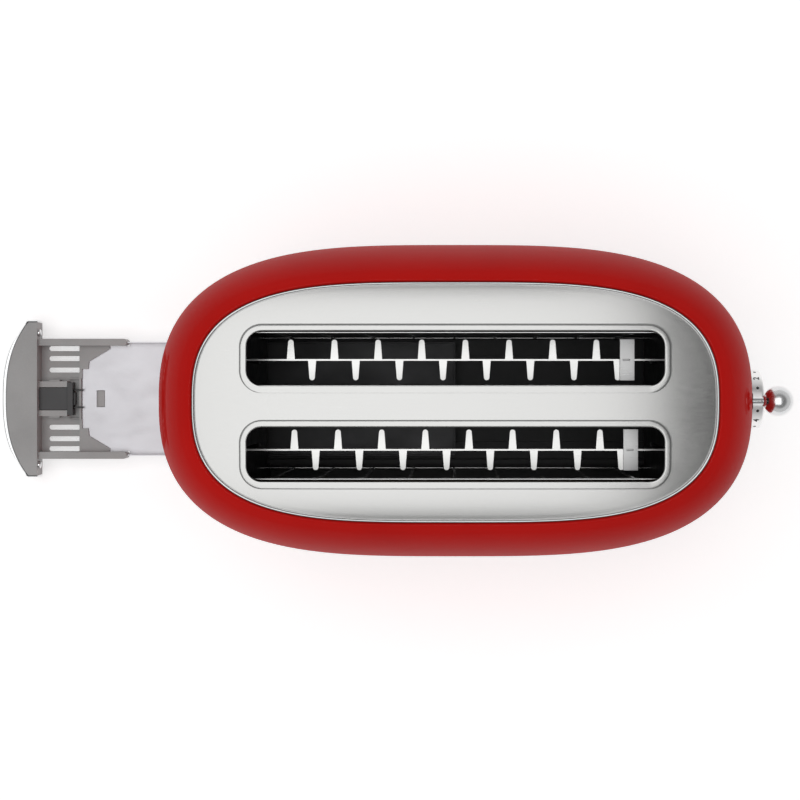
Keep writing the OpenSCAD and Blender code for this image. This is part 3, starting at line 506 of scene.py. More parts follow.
class Finishes:
    """The finishes that the toaster uses."""

    red = Enamel("red enamel", "enamel", (0.52, 0.0105, 0.0085), 0.25)
    top = BrushedMetal("satin top steel", "top_steel", (0.42, 0.42, 0.413), 0.24)
    chrome = Polished("chrome plate", "chrome", (0.68, 0.685, 0.69), 0.07)
    ball = Polished("ball chrome", "chrome", (0.74, 0.745, 0.75), 0.23)
    # painted shade: a darker copy of the chrome for the trim ring, dulling its reflection
    rim = Polished("rim plate", "chrome", (0.45, 0.45, 0.45), 0.16)
    satin_chrome = BrushedMetal("satin chrome", "chrome", (0.6, 0.6, 0.6), 0.22, (2400.0, 60.0, 60.0), 0.03)
    base = Moulded("base plastic", "base_plastic", (0.055, 0.056, 0.058), 0.5)
    rubber = Moulded("foot rubber", "foot_rubber", (0.016, 0.016, 0.017), 0.75, 900.0, 0.0001)
    # painted shade: the zinc inside the shell is coloured near black, far darker than bright_zinc, for the
    # shade it lies in
    zinc = Galvanised("shade-darkened zinc sheet", "zinc_steel", (0.11, 0.113, 0.115), 0.42)
    bright_zinc = Galvanised("bright zinc", "zinc_steel", (0.42, 0.43, 0.44), 0.3)
    screw = BrushedMetal("plated screw", "screw_steel", (0.7, 0.7, 0.7), 0.22, (300.0, 300.0, 300.0))
    black = Moulded("black plastic", "black_plastic", (0.012, 0.012, 0.013), 0.38)
    # painted shade: the mica boards are coloured dark for the inside of the toaster
    mica = Mica("mica board", "mica", (0.045, 0.032, 0.018), 0.45)
    ribbon = BrushedMetal("heater ribbon", "heater_ribbon", (0.16, 0.145, 0.13), 0.4, (600.0,) * 3, 0.15)
    wire = BrushedMetal("bright wire", "wire_steel", (0.62, 0.62, 0.62), 0.2, (900.0, 900.0, 50.0), 0.08)
    rail = BrushedMetal("rail steel", "rail_steel", (0.62, 0.62, 0.61), 0.3, (60.0, 1800.0, 1800.0), 0.05)
    # painted shade: the saddles take a darker copy of rail steel
    saddle = BrushedMetal("saddle steel", "rail_steel", (0.4, 0.4, 0.4), 0.3, (60.0, 1800.0, 1800.0), 0.04)
    spring = BrushedMetal("spring wire", "spring_steel", (0.45, 0.45, 0.45), 0.28, (900.0, 900.0, 900.0), 0.1)
    iron = BrushedMetal("laminated iron", "magnet_iron", (0.3, 0.3, 0.3), 0.4, (2500.0, 60.0, 60.0), 0.15)
    copper = Wound("coil wire", "coil_copper", (0.42, 0.12, 0.03), 0.25)
    board = Board("circuit board", "board_green", (0.008, 0.07, 0.022), 0.25)
    case = Moulded("moulded case", "component_black", (0.012, 0.012, 0.014), 0.35)
    tray_grey = Moulded("tray plastic", "tray_plastic", (0.37, 0.37, 0.367), 0.4, 1700.0, 0.00003)
    # painted shade darkens the pan's inner end, inside the shell
    pan = PanSheet("pan sheet", "tray_steel", (0.56, 0.56, 0.585), 0.36)
    dial_face = BrushedMetal("dial face", "dial_face", (0.9, 0.9, 0.895), 0.36, (300.0, 300.0, 300.0), 0.05)
    lead = Moulded("wire covering", "lead_cover", (0.09, 0.03, 0.012), 0.35)
    ink = Ink("dial ink", "dial_face", (0.006, 0.006, 0.007), 0.4)


# ---------------------------------------------------------------- shapes


class Section(Enum):
    """How a lofted skin is closed."""

    CAPPED = "capped"
    LOOPED = "looped"


@dataclass(frozen=True)
class Outline:
    """A closed rounded outline in plan, in metres.

    Attributes:
        half_x: half its length.
        half_y: half its depth.
        p: exponent along X.
        q: exponent along Y.
    """

    half_x: float
    half_y: float
    p: float = 3.4
    q: float = 2.45

    def ring(self, z: float | Callable[[float, float], float], count: int) -> Ring:
        """Return points round the outline.

        Args:
            z: the height, or a function of x and y.
            count: number of points.

        Returns:
            The points, counter-clockwise.
        """
        points = []
        for i in range(count):
            c, s = math.cos(TAU * i / count), math.sin(TAU * i / count)
            x = self.half_x * math.copysign(abs(c) ** (2 / self.p), c)
            y = self.half_y * math.copysign(abs(s) ** (2 / self.q), s)
            points.append(Vector((x, y, z(x, y) if callable(z) else z)))
        return points

    def inset(self, amount: float) -> Outline:
        """Return the outline drawn in by an amount."""
        return Outline(self.half_x - amount, self.half_y - amount, self.p, self.q)

    def scaled(self, share: float) -> Outline:
        """Return the outline drawn to a share of its size."""
        return Outline(self.half_x * share, self.half_y * share, self.p, self.q)

    def x_at(self, y: float) -> float:
        """Return the outline's positive X at a given Y."""
        return self.half_x * max(0.0, 1 - abs(y / self.half_y) ** self.q) ** (1 / self.p)


@dataclass(frozen=True)
class Track:
    """A rounded rectangle in plan, in metres.

    Attributes:
        length: size along X.
        width: size along Y.
        radius: corner radius.
        centre: its middle.
    """

    length: float
    width: float
    radius: float
    centre: tuple[float, float] = (0.0, 0.0)

    def stations(self, per_corner: int = 10, along: int = 24, across: int = 3) -> list[tuple[Vector, Vector]]:
        """Return points round the track, each with its outward direction.

        Args:
            per_corner: steps in a corner.
            along: steps in a long side.
            across: steps in a short side.

        Returns:
            Pairs of place and outward direction, counter-clockwise.
        """
        cx, cy = self.centre
        hx, hy = self.length / 2 - self.radius, self.width / 2 - self.radius
        found: list[tuple[Vector, Vector]] = []
        corners = [(hx, hy, 0.0), (-hx, hy, 90.0), (-hx, -hy, 180.0), (hx, -hy, 270.0)]
        for k, (x, y, start) in enumerate(corners):
            for i in range(per_corner + 1):
                a = math.radians(start + 90.0 * i / per_corner)
                out = Vector((math.cos(a), math.sin(a), 0.0))
                found.append((Vector((cx + x, cy + y, 0.0)) + self.radius * out, out))
            nx, ny, angle = corners[(k + 1) % 4]
            out = Vector((math.cos(math.radians(angle)), math.sin(math.radians(angle)), 0.0))
            steps = along if k % 2 == 0 else across
            here = Vector((cx + x, cy + y, 0.0)) + self.radius * out
            there = Vector((cx + nx, cy + ny, 0.0)) + self.radius * out
            for i in range(1, steps):
                found.append((here.lerp(there, i / steps), out))
        return found

    def ring(self, z: float, grow: float = 0.0) -> Ring:
        """Return the track's points at a height, grown by an amount."""
        return [Vector((p.x + grow * n.x, p.y + grow * n.y, z)) for p, n in self.stations()]


class Shape:
    """A bmesh that grows by operators and ends as one piece."""

    def __init__(self) -> None:
        """Start an empty mesh."""
        self.bm = bmesh.new()

    def loft(self, rings: Sequence[Ring], section: Section = Section.CAPPED) -> Shape:
        """Skin a run of rings that have the same number of points.

        Args:
            rings: the rings in order.
            section: how the skin is closed.

        Returns:
            This shape.
        """
        verts = bmesh.ops.create_circle(self.bm, cap_ends=False, radius=1.0, segments=len(rings[0]))["verts"]
        for vert, place in zip(verts, rings[0]):
            vert.co = place
        first = list({e for v in verts for e in v.link_edges})
        edges, ring = first, verts
        for places in rings[1:]:
            made = bmesh.ops.extrude_edge_only(self.bm, edges=edges)["geom"]
            fresh = [g for g in made if isinstance(g, bmesh.types.BMVert)]
            index = {v: i for i, v in enumerate(ring)}
            grown: list[bmesh.types.BMVert | None] = [None] * len(ring)
            for vert in fresh:
                old = next(e.other_vert(vert) for e in vert.link_edges if e.other_vert(vert) in index)
                grown[index[old]] = vert
            for vert, place in zip(grown, places):
                vert.co = place
            edges = [g for g in made if isinstance(g, bmesh.types.BMEdge)]
            edges = [e for e in edges if all(v in set(grown) for v in e.verts)]
            ring = grown
        if section is Section.LOOPED:
            bmesh.ops.bridge_loops(self.bm, edges=first + edges)
        else:
            bmesh.ops.holes_fill(self.bm, edges=first, sides=0)
            bmesh.ops.holes_fill(self.bm, edges=edges, sides=0)
        self.turn_out()
        return self

    def turn_out(self) -> None:
        """Point every face outwards."""
        bmesh.ops.recalc_face_normals(self.bm, faces=self.bm.faces[:])

    def revolve(self, profile: Sequence[tuple[float, float]], place: Vector, axis: Vector, steps: int) -> Shape:
        """Turn a profile about an axis.

        Args:
            profile: distance along the axis and radius, for each point.
            place: the axis's start.
            axis: its direction.
            steps: number of facets round.

        Returns:
            This shape.
        """
        axis = axis.normalized()
        side = axis.orthogonal().normalized()
        verts = [self.bm.verts.new(place + axis * a + side * r) for a, r in profile]
        edges = [self.bm.edges.new(pair) for pair in zip(verts, verts[1:])]
        bmesh.ops.spin(self.bm, geom=verts + edges, cent=place, axis=axis, angle=TAU, steps=steps,
                       use_merge=True)
        bmesh.ops.remove_doubles(self.bm, verts=self.bm.verts[:], dist=1e-6)
        self.turn_out()
        return self

    def block(self, low: Sequence[float], high: Sequence[float], round_by: float = 0.0) -> Shape:
        """Add a rounded block.

        Args:
            low: its lowest corner.
            high: its highest corner.
            round_by: radius of its edges.

        Returns:
            This shape.
        """
        size = Vector(high) - Vector(low)
        middle = (Vector(high) + Vector(low)) / 2
        matrix = Matrix.Translation(middle) @ Matrix.Diagonal((*size, 1.0))
        made = bmesh.ops.create_cube(self.bm, size=1.0, matrix=matrix)["verts"]
        if round_by > 0:
            edges = list({e for v in made for e in v.link_edges})
            bmesh.ops.bevel(self.bm, geom=edges, offset=round_by, segments=3, profile=0.5, affect="EDGES",
                            material=-1)
        return self

    def object(self, name: str, smooth: float = 32.0) -> Piece:
        """Turn the shape into an object, smooth but for its sharp edges.

        Args:
            name: the piece's name.
            smooth: the angle, in degrees, past which an edge stays sharp.

        Returns:
            The new object.
        """
        for face in self.bm.faces:
            face.smooth = True
        for edge in self.bm.edges:
            if len(edge.link_faces) == 2 and edge.calc_face_angle(0.0) > math.radians(smooth):
                edge.smooth = False
        mesh = bpy.data.meshes.new(name)
        self.bm.to_mesh(mesh)
        self.bm.free()
        piece = bpy.data.objects.new(name, mesh)
        bpy.context.scene.collection.objects.link(piece)
        return piece


def cut(piece: Piece, tool: Shape, how: str = "DIFFERENCE") -> Piece:
    """Cut a piece with a tool shape, and keep the result as its mesh.

    Args:
        piece: what is cut.
        tool: the cutting shape.
        how: DIFFERENCE or INTERSECT.

    Returns:
        The piece.
    """
    blade = tool.object("blade")
    step = piece.modifiers.new("cut", "BOOLEAN")
    step.operation = how
    step.solver = "EXACT"
    step.object = blade
    graph = bpy.context.evaluated_depsgraph_get()
    mesh = bpy.data.meshes.new_from_object(piece.evaluated_get(graph))
    piece.modifiers.remove(step)
    piece.data = mesh
    bpy.data.objects.remove(blade)
    return piece


def resmooth(piece: Piece, angle: float) -> None:
    """Mark a piece's sharp edges anew after a cut.

    Args:
        piece: the piece.
        angle: the angle, in degrees, past which an edge is sharp.
    """
    bm = bmesh.new()
    bm.from_mesh(piece.data)
    bmesh.ops.remove_doubles(bm, verts=bm.verts[:], dist=2e-6)
    for face in bm.faces:
        face.smooth = True
    for edge in bm.edges:
        edge.smooth = not (len(edge.link_faces) == 2 and edge.calc_face_angle(0.0) > math.radians(angle))
    bm.to_mesh(piece.data)
    bm.free()


def soften(piece: Piece, width: float, angle: float) -> None:
    """Round a piece's sharp edges with a bevel modifier.

    Args:
        piece: the piece.
        width: the bevel's width.
        angle: edges sharper than this, in degrees, are rounded.
    """
    step = piece.modifiers.new("soften", "BEVEL")
    step.width = width
    step.segments = 2
    step.limit_method = "ANGLE"
    step.angle_limit = math.radians(angle)
    step.harden_normals = False


def dress(piece: Piece, finish: Finish, body: str, *nodes: str) -> Piece:
    """Give a piece its finish and its body, and hide the CAD nodes that it stands for.

    Args:
        piece: the piece.
        finish: its finish.
        body: the body that it rides on.
        nodes: the CAD nodes that it replaces.

    Returns:
        The piece.
    """
    piece.data.materials.clear()
    piece.data.materials.append(finish.material())
    even = piece.modifiers.new("even shading", "WEIGHTED_NORMAL")
    even.keep_sharp = True
    even.weight = 60
    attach(piece, body)
    if nodes:
        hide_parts(*nodes)
    LOG.info("%s rides on %s, for %s", piece.name, body, ", ".join(nodes) or "no node")
    return piece


def rounded_copy(node: str, body: str, finish: Finish, width: float) -> Piece:
    """Stand a softened copy in for a CAD node whose edges are bare.

    Args:
        node: the CAD node.
        body: the body that it rides on.
        finish: its finish.
        width: how far its edges are rounded.

    Returns:
        The copy.
    """
    shape = Shape()
    shape.bm.from_mesh(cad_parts[node].data)
    bmesh.ops.remove_doubles(shape.bm, verts=shape.bm.verts[:], dist=1e-6)
    bmesh.ops.dissolve_limit(shape.bm, angle_limit=math.radians(0.8), use_dissolve_boundaries=False,
                             verts=shape.bm.verts[:], edges=shape.bm.edges[:])
    piece = shape.object(f"{node}_skin", 30)
    soften(piece, width, 38)
    return dress(piece, finish, body, node)


def mix(a: float, b: float, share: float) -> float:
    """Return a value that lies a share of the way from one to another."""
    return a + (b - a) * share


# ---------------------------------------------------------------- sub-assemblies


@dataclass(frozen=True)
class Body:
    """Sizes of the painted shell, which the other parts are placed by."""

    half_length: float = 188 * MM
    half_depth: float = 100 * MM
    open_length: float = 152.2 * MM
    open_depth: float = 69.5 * MM
    waist: float = 82 * MM
    rim: float = 213 * MM
    hem: float = 27 * MM
    draw: float = 5 * MM
    crown: float = 215 * MM
    dome_drop: float = 3.6 * MM
    plate: Outline = Outline(150.4 * MM, 67.7 * MM, 3.65, 2.7)
    band: Outline = Outline(181.8 * MM, 93.8 * MM)
    slots: tuple[float, float] = (-30.1 * MM, 25.3 * MM)
    slot_length: float = 241 * MM
    slot_width: float = 31.6 * MM
    slot_corner: float = 9 * MM

    def outline(self, z: float, inward: float = 0.0) -> Outline:
        """Return the shell's outline at a height, moved inwards.

        Args:
            z: the height.
            inward: how far inside the outer face.

        Returns:
            The outline.
        """
        share = 0.0
        if z > self.waist:
            share = 1 - math.sqrt(max(0.0, 1 - ((z - self.waist) / (self.rim - self.waist)) ** 2))
        pull = inward
        if z < self.waist:
            pull += self.draw * ((self.waist - z) / (self.waist - self.hem)) ** 2.2
        return Outline(mix(self.half_length, self.open_length, share) - pull,
                       mix(self.half_depth, self.open_depth, share) - pull,
                       mix(Outline.p, self.plate.p, share), mix(Outline.q, self.plate.q, share))

    def wall_x(self, y: float, z: float) -> float:
        """Return the outer face's X at the lever end."""
        return self.outline(z).x_at(y)

    def slot(self, y: float) -> Track:
        """Return the outline of the bread slot whose middle is at a given Y."""
        return Track(self.slot_length, self.slot_width, self.slot_corner, (0, y))

    def crown_at(self, share: float) -> float:
        """Return the dome's height where the plate's outline is drawn to a share of its size."""
        return self.crown - self.dome_drop * share ** 4

    def dome(self, x: float, y: float) -> float:
        """Return the top plate's height at a place, by halving the share on which it lies.

        Args:
            x: the place's X.
            y: the place's Y.

        Returns:
            The height.
        """
        low, high = 0.0, 1.4
        for _ in range(22):
            share = (low + high) / 2
            edge = self.plate.scaled(share)
            outside = (abs(x) / edge.half_x) ** edge.p + (abs(y) / edge.half_y) ** edge.q > 1
            low, high = (share, high) if outside else (low, share)
        return self.crown_at(low)

    def wall_slab(self, half_y: float, z0: float, z1: float, proud: float, thick: float, rows: int) -> Shape:
        """Make a slab that follows the shell's face at the lever end.

        Args:
            half_y: half its width.
            z0: its bottom.
            z1: its top.
            proud: how far it stands out of the face.
            thick: its thickness.
            rows: facets up it.

        Returns:
            The slab.
        """
        columns = 18
        rings = []
        for i in range(rows + 1):
            z = z0 + (z1 - z0) * i / rows
            ys = [-half_y + 2 * half_y * k / columns for k in range(columns + 1)]
            front = [Vector((self.wall_x(y, z) + proud, y, z)) for y in ys]
            rings.append(front + [p - Vector((thick, 0, 0)) for p in reversed(front)])
        return Shape().loft(rings)


BODY = Body()


@dataclass
class ShellAssembly:
    """The enamelled shell, its trim ring, the top plate with its collars, and the base band."""

    body: Body = BODY
    sides: int = 256
    wall: float = 1.2 * MM
    ledge: float = 210.2 * MM
    roll: float = 1.7 * MM
    lip_width: float = 4.2 * MM
    lip_height: float = 0.8 * MM
    skirt: float = 204.5 * MM
    foot_x: float = 126 * MM
    foot_y: float = 68 * MM
    plate_sides: int = 192
    cut_reach: tuple[float, float] = (0.155, 0.21)
    lever_cut: tuple[float, float, float] = (3.8 * MM, 76 * MM, 158 * MM)
    panel_cut: tuple[float, float, float] = (34 * MM, 30.5 * MM, 66.5 * MM)
    panel_cut_corner: float = 6 * MM

    def shell(self) -> Piece:
        """Build the painted shell with its rolled rim and hem.

        Returns:
            The shell.
        """
        b = self.body
        hem = ((1.2, 0.5), (0.85, 0.1), (0.4, 0.1), (0.05, 0.5))
        rings = [b.outline(b.hem, i * MM).ring(b.hem + z * MM, self.sides) for i, z in hem]
        outer = [b.hem + 1.2 * MM * k for k in (1, 3)]
        outer += [b.hem + (b.waist - b.hem) * k / 9 for k in range(1, 9)]
        outer += [b.waist + (b.rim - b.waist) * math.sin(math.radians(a)) for a in range(0, 82, 3)]
        rings += [b.outline(z).ring(z, self.sides) for z in outer]
        flat = b.outline(b.rim)
        for angle in range(0, 91, 15):
            a = math.radians(angle)
            place = flat.inset(self.roll * (math.sin(a) - 1))
            rings.append(place.ring(b.rim - self.roll * (1 - math.cos(a)), self.sides))
        shelf = ((0.0, 0.4 * MM), (0.5, 0.0), (6.0, 0.0), (6.0, -self.wall))
        rings += [flat.inset(i * MM).ring(self.ledge + z, self.sides) for i, z in shelf]
        inner = (207, 204, 196, 184, 168, 148, 124, 100, 82, 66, 52, 40, 32)
        rings += [b.outline(z * MM, self.wall).ring(z * MM, self.sides) for z in inner]
        piece = Shape().loft(rings, Section.LOOPED).object("shell")
        near, far = self.cut_reach
        for (half, low, high), corner in ((self.lever_cut, 0.0), (self.panel_cut, self.panel_cut_corner)):
            cut(piece, Shape().block((near, -half, low), (far, half, high), corner))
        resmooth(piece, 40)
        return dress(piece, Finishes.red, "body", "outer_shell")

    def trim(self) -> Piece:
        """Build the bright ring between the shell and the top plate.

        Returns:
            The ring.
        """
        section = [(0.2, 210.22), (0.2, 212.9), (0.32, 213.25), (0.6, 213.4), (1.0, 213.4), (1.35, 213.2),
                   (1.5, 212.8), (1.5, 210.28), (3.0, 210.28), (3.0, 210.22)]
        flat = self.body.outline(self.body.rim)
        rings = [flat.inset(i * MM).ring(z * MM, self.sides) for i, z in section]
        return dress(Shape().loft(rings, Section.LOOPED).object("trim_ring"), Finishes.rim, "body", "top_trim")

    def plate(self) -> Piece:
        """Build the domed top plate with its two openings.

        Returns:
            The plate.
        """
        b = self.body
        shares = [0.04 + 0.92 * k / 26 for k in range(27)] + [0.975, 0.99, 1.0]
        rings = [b.plate.scaled(s).ring(b.crown_at(s), self.plate_sides) for s in shares]
        under = ((0.0, 4.7), (20.0, 3.2), (55.0, 1.6))
        rings += [b.plate.inset(i * MM).ring(b.crown - drop * MM, self.plate_sides) for i, drop in under]
        piece = Shape().loft(rings).object("top_plate_skin", 24)
        for y in b.slots:
            cut(piece, Shape().loft([b.slot(y).ring(z, 2 * MM) for z in (0.19, 0.23)]))
        resmooth(piece, 24)
        return dress(piece, Finishes.top, "body", "top_plate")

    def collar_ring(self, y: float, grow: float, rise: float | None = None) -> Ring:
        """Return one ring of a slot's collar, which stands proud at the back and lies low in front.

        Args:
            y: the slot's middle.
            grow: how far outside the slot it runs, in millimetres.
            rise: its height over the plate, in millimetres. Without one it is the skirt's foot.

        Returns:
            The ring.
        """
        places = []
        for foot, out in self.body.slot(y).stations(12, 30, 4):
            p = foot + out * grow * MM
            height = self.skirt
            if rise is not None:
                share = 1.0 if rise < 0 else min(1.0, 0.2 + 0.8 * max(0.0, out.y) + 0.45 * abs(out.x))
                height = self.body.dome(p.x, p.y) + rise * share * MM
            places.append(Vector((p.x, p.y, height)))
        return places

    def collar(self, name: str, y: float) -> Piece:
        """Build the rolled collar of one bread slot.

        Args:
            name: the piece's name.
            y: the slot's middle.

        Returns:
            The collar.
        """
        w, h = self.lip_width / MM, self.lip_height / MM
        lip = [(0.8, -2.0), (0.05, -1.0), (0.0, 0.1), (0.12, 0.45), (0.4, 0.68), (0.9, h), (w - 1.6, h),
               (w - 0.8, h - 0.08), (w - 0.3, h - 0.3), (w, 0.15), (w, -0.12), (1.9, -0.35), (1.8, -1.2)]
        rings = [self.collar_ring(y, *step) for step in ((1.0,), *lip, (1.8,))]
        return dress(Shape().loft(rings, Section.LOOPED).object(name, 50), Finishes.top, "body", "top_plate")

    def band(self) -> Piece:
        """Build the polished base band, open where the crumb tray's front comes.

        Returns:
            The band.
        """
        section = [(0.35, 9.1), (0.05, 9.6), (0, 10.5), (0, 15), (0, 20), (0, 25.5), (0.05, 26.4), (0.35, 26.9),
                   (0.85, 26.9), (1.2, 26.3), (1.2, 9.7), (0.85, 9.1)]
        rings = [self.body.band.inset(i * MM).ring(z * MM, self.sides) for i, z in section]
        piece = Shape().loft(rings, Section.LOOPED).object("base_band_skin")
        cut(piece, Shape().block((-0.2, -55 * MM, 11 * MM), (-0.1588, 55 * MM, 30 * MM)))
        cut(piece, Shape().revolve([(0, 0), (0, 5.8 * MM), (0.03, 5.8 * MM), (0.03, 0)],
                                   Vector((60 * MM, 80 * MM, 18 * MM)), Vector((0, 1, 0)), 40))
        resmooth(piece, 40)
        return dress(piece, Finishes.chrome, "body", "base_band")

    def feet(self) -> Piece:
        """Build the five turned rubber feet.

        Returns:
            The feet.
        """
        profile = [(0, 0), (0, 8.4), (0.5, 9.3), (1.4, 9.8), (6, 10), (7.6, 9.9), (8, 9.5), (8, 0)]
        shape = Shape()
        turned = [(a * MM, r * MM) for a, r in profile]
        for x, y in [(0, 0), *((sx * self.foot_x, sy * self.foot_y) for sx in (-1, 1) for sy in (-1, 1))]:
            shape.revolve(turned, Vector((x, y, 0)), Vector((0, 0, 1)), 48)
        return dress(shape.object("rubber_feet"), Finishes.rubber, "body", "feet")

    def build(self) -> None:
        """Build every piece of the shell."""
        self.shell()
        self.trim()
        self.plate()
        self.collar("slot_collar_front", self.body.slots[0])
        self.collar("slot_collar_back", self.body.slots[1])
        self.band()
        self.feet()


DIAL_STEP = math.radians(46.0)


class Mark(Enum):
    """The plain figures round the dial."""

    ONE = "1"
    TWO = "2"
    THREE = "3"
    FOUR = "4"
    FIVE = "5"

    def angle(self) -> float:
        """Return the figure's angle from the top of the dial towards +Y, in radians."""
        return (3 - int(self.value)) * DIAL_STEP


@dataclass
class Controls:
    """The control panel, browning dial, buttons, lever slot and ball lever."""

    body: Body = BODY
    dial_z: float = 48 * MM
    dial_radius: float = 19.6 * MM
    dial_face: float = 207.2 * MM
    figure_x: float = 202.3 * MM
    figure_size: float = 5.4 * MM
    ink: float = 0.03 * MM
    neck_x: float = 188.9 * MM
    ball_x: float = 198.4 * MM
    ball_radius: float = 9.2 * MM
    lever_z: float = 152 * MM
    slot_z: float = 117 * MM
    buttons: dict[str, tuple[float, float]] = field(default_factory=lambda: {
        "button_stop": (-27.8 * MM, 40 * MM), "button_reheat": (-27.8 * MM, 58 * MM),
        "button_defrost": (27.8 * MM, 40 * MM), "button_bagel": (27.8 * MM, 58 * MM)})

    def panel(self) -> Piece:
        """Build the control panel with its holes.

        Returns:
            The panel.
        """
        piece = self.body.wall_slab(37 * MM, 26 * MM, 71 * MM, 0.6 * MM, 2.2 * MM, 12).object("panel_skin")
        slab = Track(72 * MM, 40 * MM, 10 * MM)
        ring = [(p.x, p.y) for p, _ in slab.stations(8, 2, 2)]
        tool = [[Vector((x, -u, self.dial_z + 0.5 * MM + v)) for u, v in ring] for x in (0.14, 0.22)]
        cut(piece, Shape().loft(tool), "INTERSECT")
        holes = [(0.0, self.dial_z, 3.6 * MM), *((y, z, 4.85 * MM) for y, z in self.buttons.values())]
        for y, z, r in holes:
            bore = [(0, 0), (0, r), (0.08, r), (0.08, 0)]
            cut(piece, Shape().revolve(bore, Vector((0.14, y, z)), Vector((1, 0, 0)), 40))
        resmooth(piece, 28)
        soften(piece, 0.35 * MM, 40)
        return dress(piece, Finishes.satin_chrome, "body", "control_panel")

    def liner(self) -> Piece:
        """Build the black liner of the lever slot.

        Returns:
            The liner.
        """
        piece = self.body.wall_slab(6 * MM, 72 * MM, 162 * MM, 0.4 * MM, 3 * MM, 22).object("slot_liner_skin")
        outer = Track(84 * MM, 10 * MM, 3 * MM)
        inner = Track(80 * MM, 6 * MM, 0.6 * MM)
        for track, how in ((outer, "INTERSECT"), (inner, "DIFFERENCE")):
            ring = [(p.x, p.y) for p, _ in track.stations(6, 2, 2)]
            tool = [[Vector((x, -v, self.slot_z + u)) for u, v in ring] for x in (0.12, 0.22)]
            cut(piece, Shape().loft(tool), how)
        resmooth(piece, 28)
        soften(piece, 0.3 * MM, 40)
        return dress(piece, Finishes.black, "body", "lever_slot_liner")

    def dial(self) -> None:
        """Build the dial's ring and cap, and its marks."""
        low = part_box("dial_ring")[0][0]
        length, r = self.dial_face - low, self.dial_radius
        bend = 2.2 * MM
        ring = [(0, r - 2 * MM), (0.15 * MM, r - 0.2 * MM), (0.5 * MM, r), (length - bend, r)]
        ring += [(length - bend + bend * math.sin(a), r - bend * (1 - math.cos(a)))
                 for a in (math.radians(15 * k) for k in range(1, 7))]
        ring += [(length - a * MM, r - d * MM) for a, d in ((0, 4.1), (0.3, 4.45), (3, 4.5), (3, 2))]
        ring.append((0, r - 2 * MM))
        axis, base = Vector((1, 0, 0)), Vector((low, 0, self.dial_z))
        piece = Shape().revolve(ring, base, axis, 128).object("dial_ring_skin")
        dress(piece, Finishes.dial_face, "dial", "dial_ring")
        steps = ((5, 2.3), (3.3, 2.3), (3, 4.8), (1.7, 4.9), (1.2, 5.4), (0.9, 9))
        cap = [(length - 5 * MM, 0), *((length - a * MM, r - d * MM) for a, d in steps),
               (length - 0.5 * MM, 3 * MM), (length - 0.45 * MM, 0)]
        piece = Shape().revolve(cap, base, axis, 96).object("dial_cap_skin")
        dress(piece, Finishes.satin_chrome, "dial", "dial_cap")
        for mark in Mark:
            self.figure(mark)
        self.dots()

    def on_rim(self, verts: Iterable[bpy.types.MeshVertex | bmesh.types.BMVert], angle: float) -> None:
        """Bend a flat mark onto the dial's rim.

        Args:
            verts: the mark, drawn flat with its height along +Y.
            angle: where it sits, from the top towards +Y.
        """
        for vert in verts:
            a = angle + vert.co.x / self.dial_radius
            r = self.dial_radius + self.ink + vert.co.z
            vert.co = Vector((self.figure_x - vert.co.y, r * math.sin(a), self.dial_z + r * math.cos(a)))

    def figure(self, mark: Mark) -> Piece:
        """Build one figure on the rim.

        Args:
            mark: the figure.

        Returns:
            The figure.
        """
        curve = bpy.data.curves.new(f"figure_{mark.value}", "FONT")
        curve.body, curve.size, curve.offset = mark.value, self.figure_size, 0.14 * MM
        curve.align_x, curve.align_y = "CENTER", "CENTER"
        drawn = bpy.data.objects.new("drawn", curve)
        bpy.context.scene.collection.objects.link(drawn)
        mesh = bpy.data.meshes.new_from_object(drawn.evaluated_get(bpy.context.evaluated_depsgraph_get()))
        bpy.data.objects.remove(drawn)
        shape = Shape()
        shape.bm.from_mesh(mesh)
        for k in range(-8, 9):
            every = shape.bm.verts[:] + shape.bm.edges[:] + shape.bm.faces[:]
            bmesh.ops.bisect_plane(shape.bm, geom=every, plane_co=(0.3 * k * MM, 0, 0), plane_no=(1, 0, 0))
        bmesh.ops.triangulate(shape.bm, faces=shape.bm.faces[:])
        piece = shape.object(f"figure_{mark.value}")
        self.on_rim(piece.data.vertices, mark.angle())
        return dress(piece, Finishes.ink, "dial")

    def dots(self) -> Piece:
        """Build the dots between the figures.

        Returns:
            The dots.
        """
        shape = Shape()
        for k in (-1.5, -0.5, 0.5, 1.5):
            disc = bmesh.ops.create_circle(shape.bm, cap_ends=True, radius=1.0 * MM, segments=20)["verts"]
            self.on_rim(disc, k * DIAL_STEP)
        return dress(shape.object("dial_dots"), Finishes.ink, "dial")

    def press_button(self, name: str) -> Piece:
        """Build one turned button with a dished face.

        Args:
            name: the CAD node's name.

        Returns:
            The button.
        """
        y, z = self.buttons[name]
        low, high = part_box(name)
        face, r = high[0] - low[0], 4.6 * MM
        neck = face - 6.8 * MM
        profile = [(0, 0), (0, 2 * MM), (neck - 1.0 * MM, 2 * MM), (neck - 1.0 * MM, r + 0.9 * MM),
                   (neck, r + 0.9 * MM), (neck, r), (face - 0.9 * MM, r), (face - 0.35 * MM, r - 0.25 * MM),
                   (face, r - 0.9 * MM), (face - 0.15 * MM, r - 1.6 * MM), (face - 0.55 * MM, 0)]
        piece = Shape().revolve(profile, Vector((low[0], y, z)), Vector((1, 0, 0)), 56).object(f"{name}_skin")
        return dress(piece, Finishes.satin_chrome, f"{name}_body", name)

    def ball(self) -> Piece:
        """Build the ball and its neck.

        Returns:
            The ball.
        """
        profile = [(a * MM, r * MM) for a, r in ((0, 0), (0, 3.0), (0.4, 3.5), (2.2, 4.2))]
        centre = self.ball_x - self.neck_x
        first = math.pi - math.asin(4.4 * MM / self.ball_radius)
        for k in range(31):
            a = first * (1 - k / 30)
            profile.append((centre + self.ball_radius * math.cos(a), self.ball_radius * math.sin(a)))
        place = Vector((self.neck_x, 0, self.lever_z))
        piece = Shape().revolve(profile, place, Vector((1, 0, 0)), 96).object("ball_knob")
        return dress(piece, Finishes.ball, "carriage", "lever_knob")

    def build(self) -> None:
        """Build every piece of the controls."""
        self.panel()
        self.liner()
        self.dial()
        for name in self.buttons:
            self.press_button(name)
        self.ball()


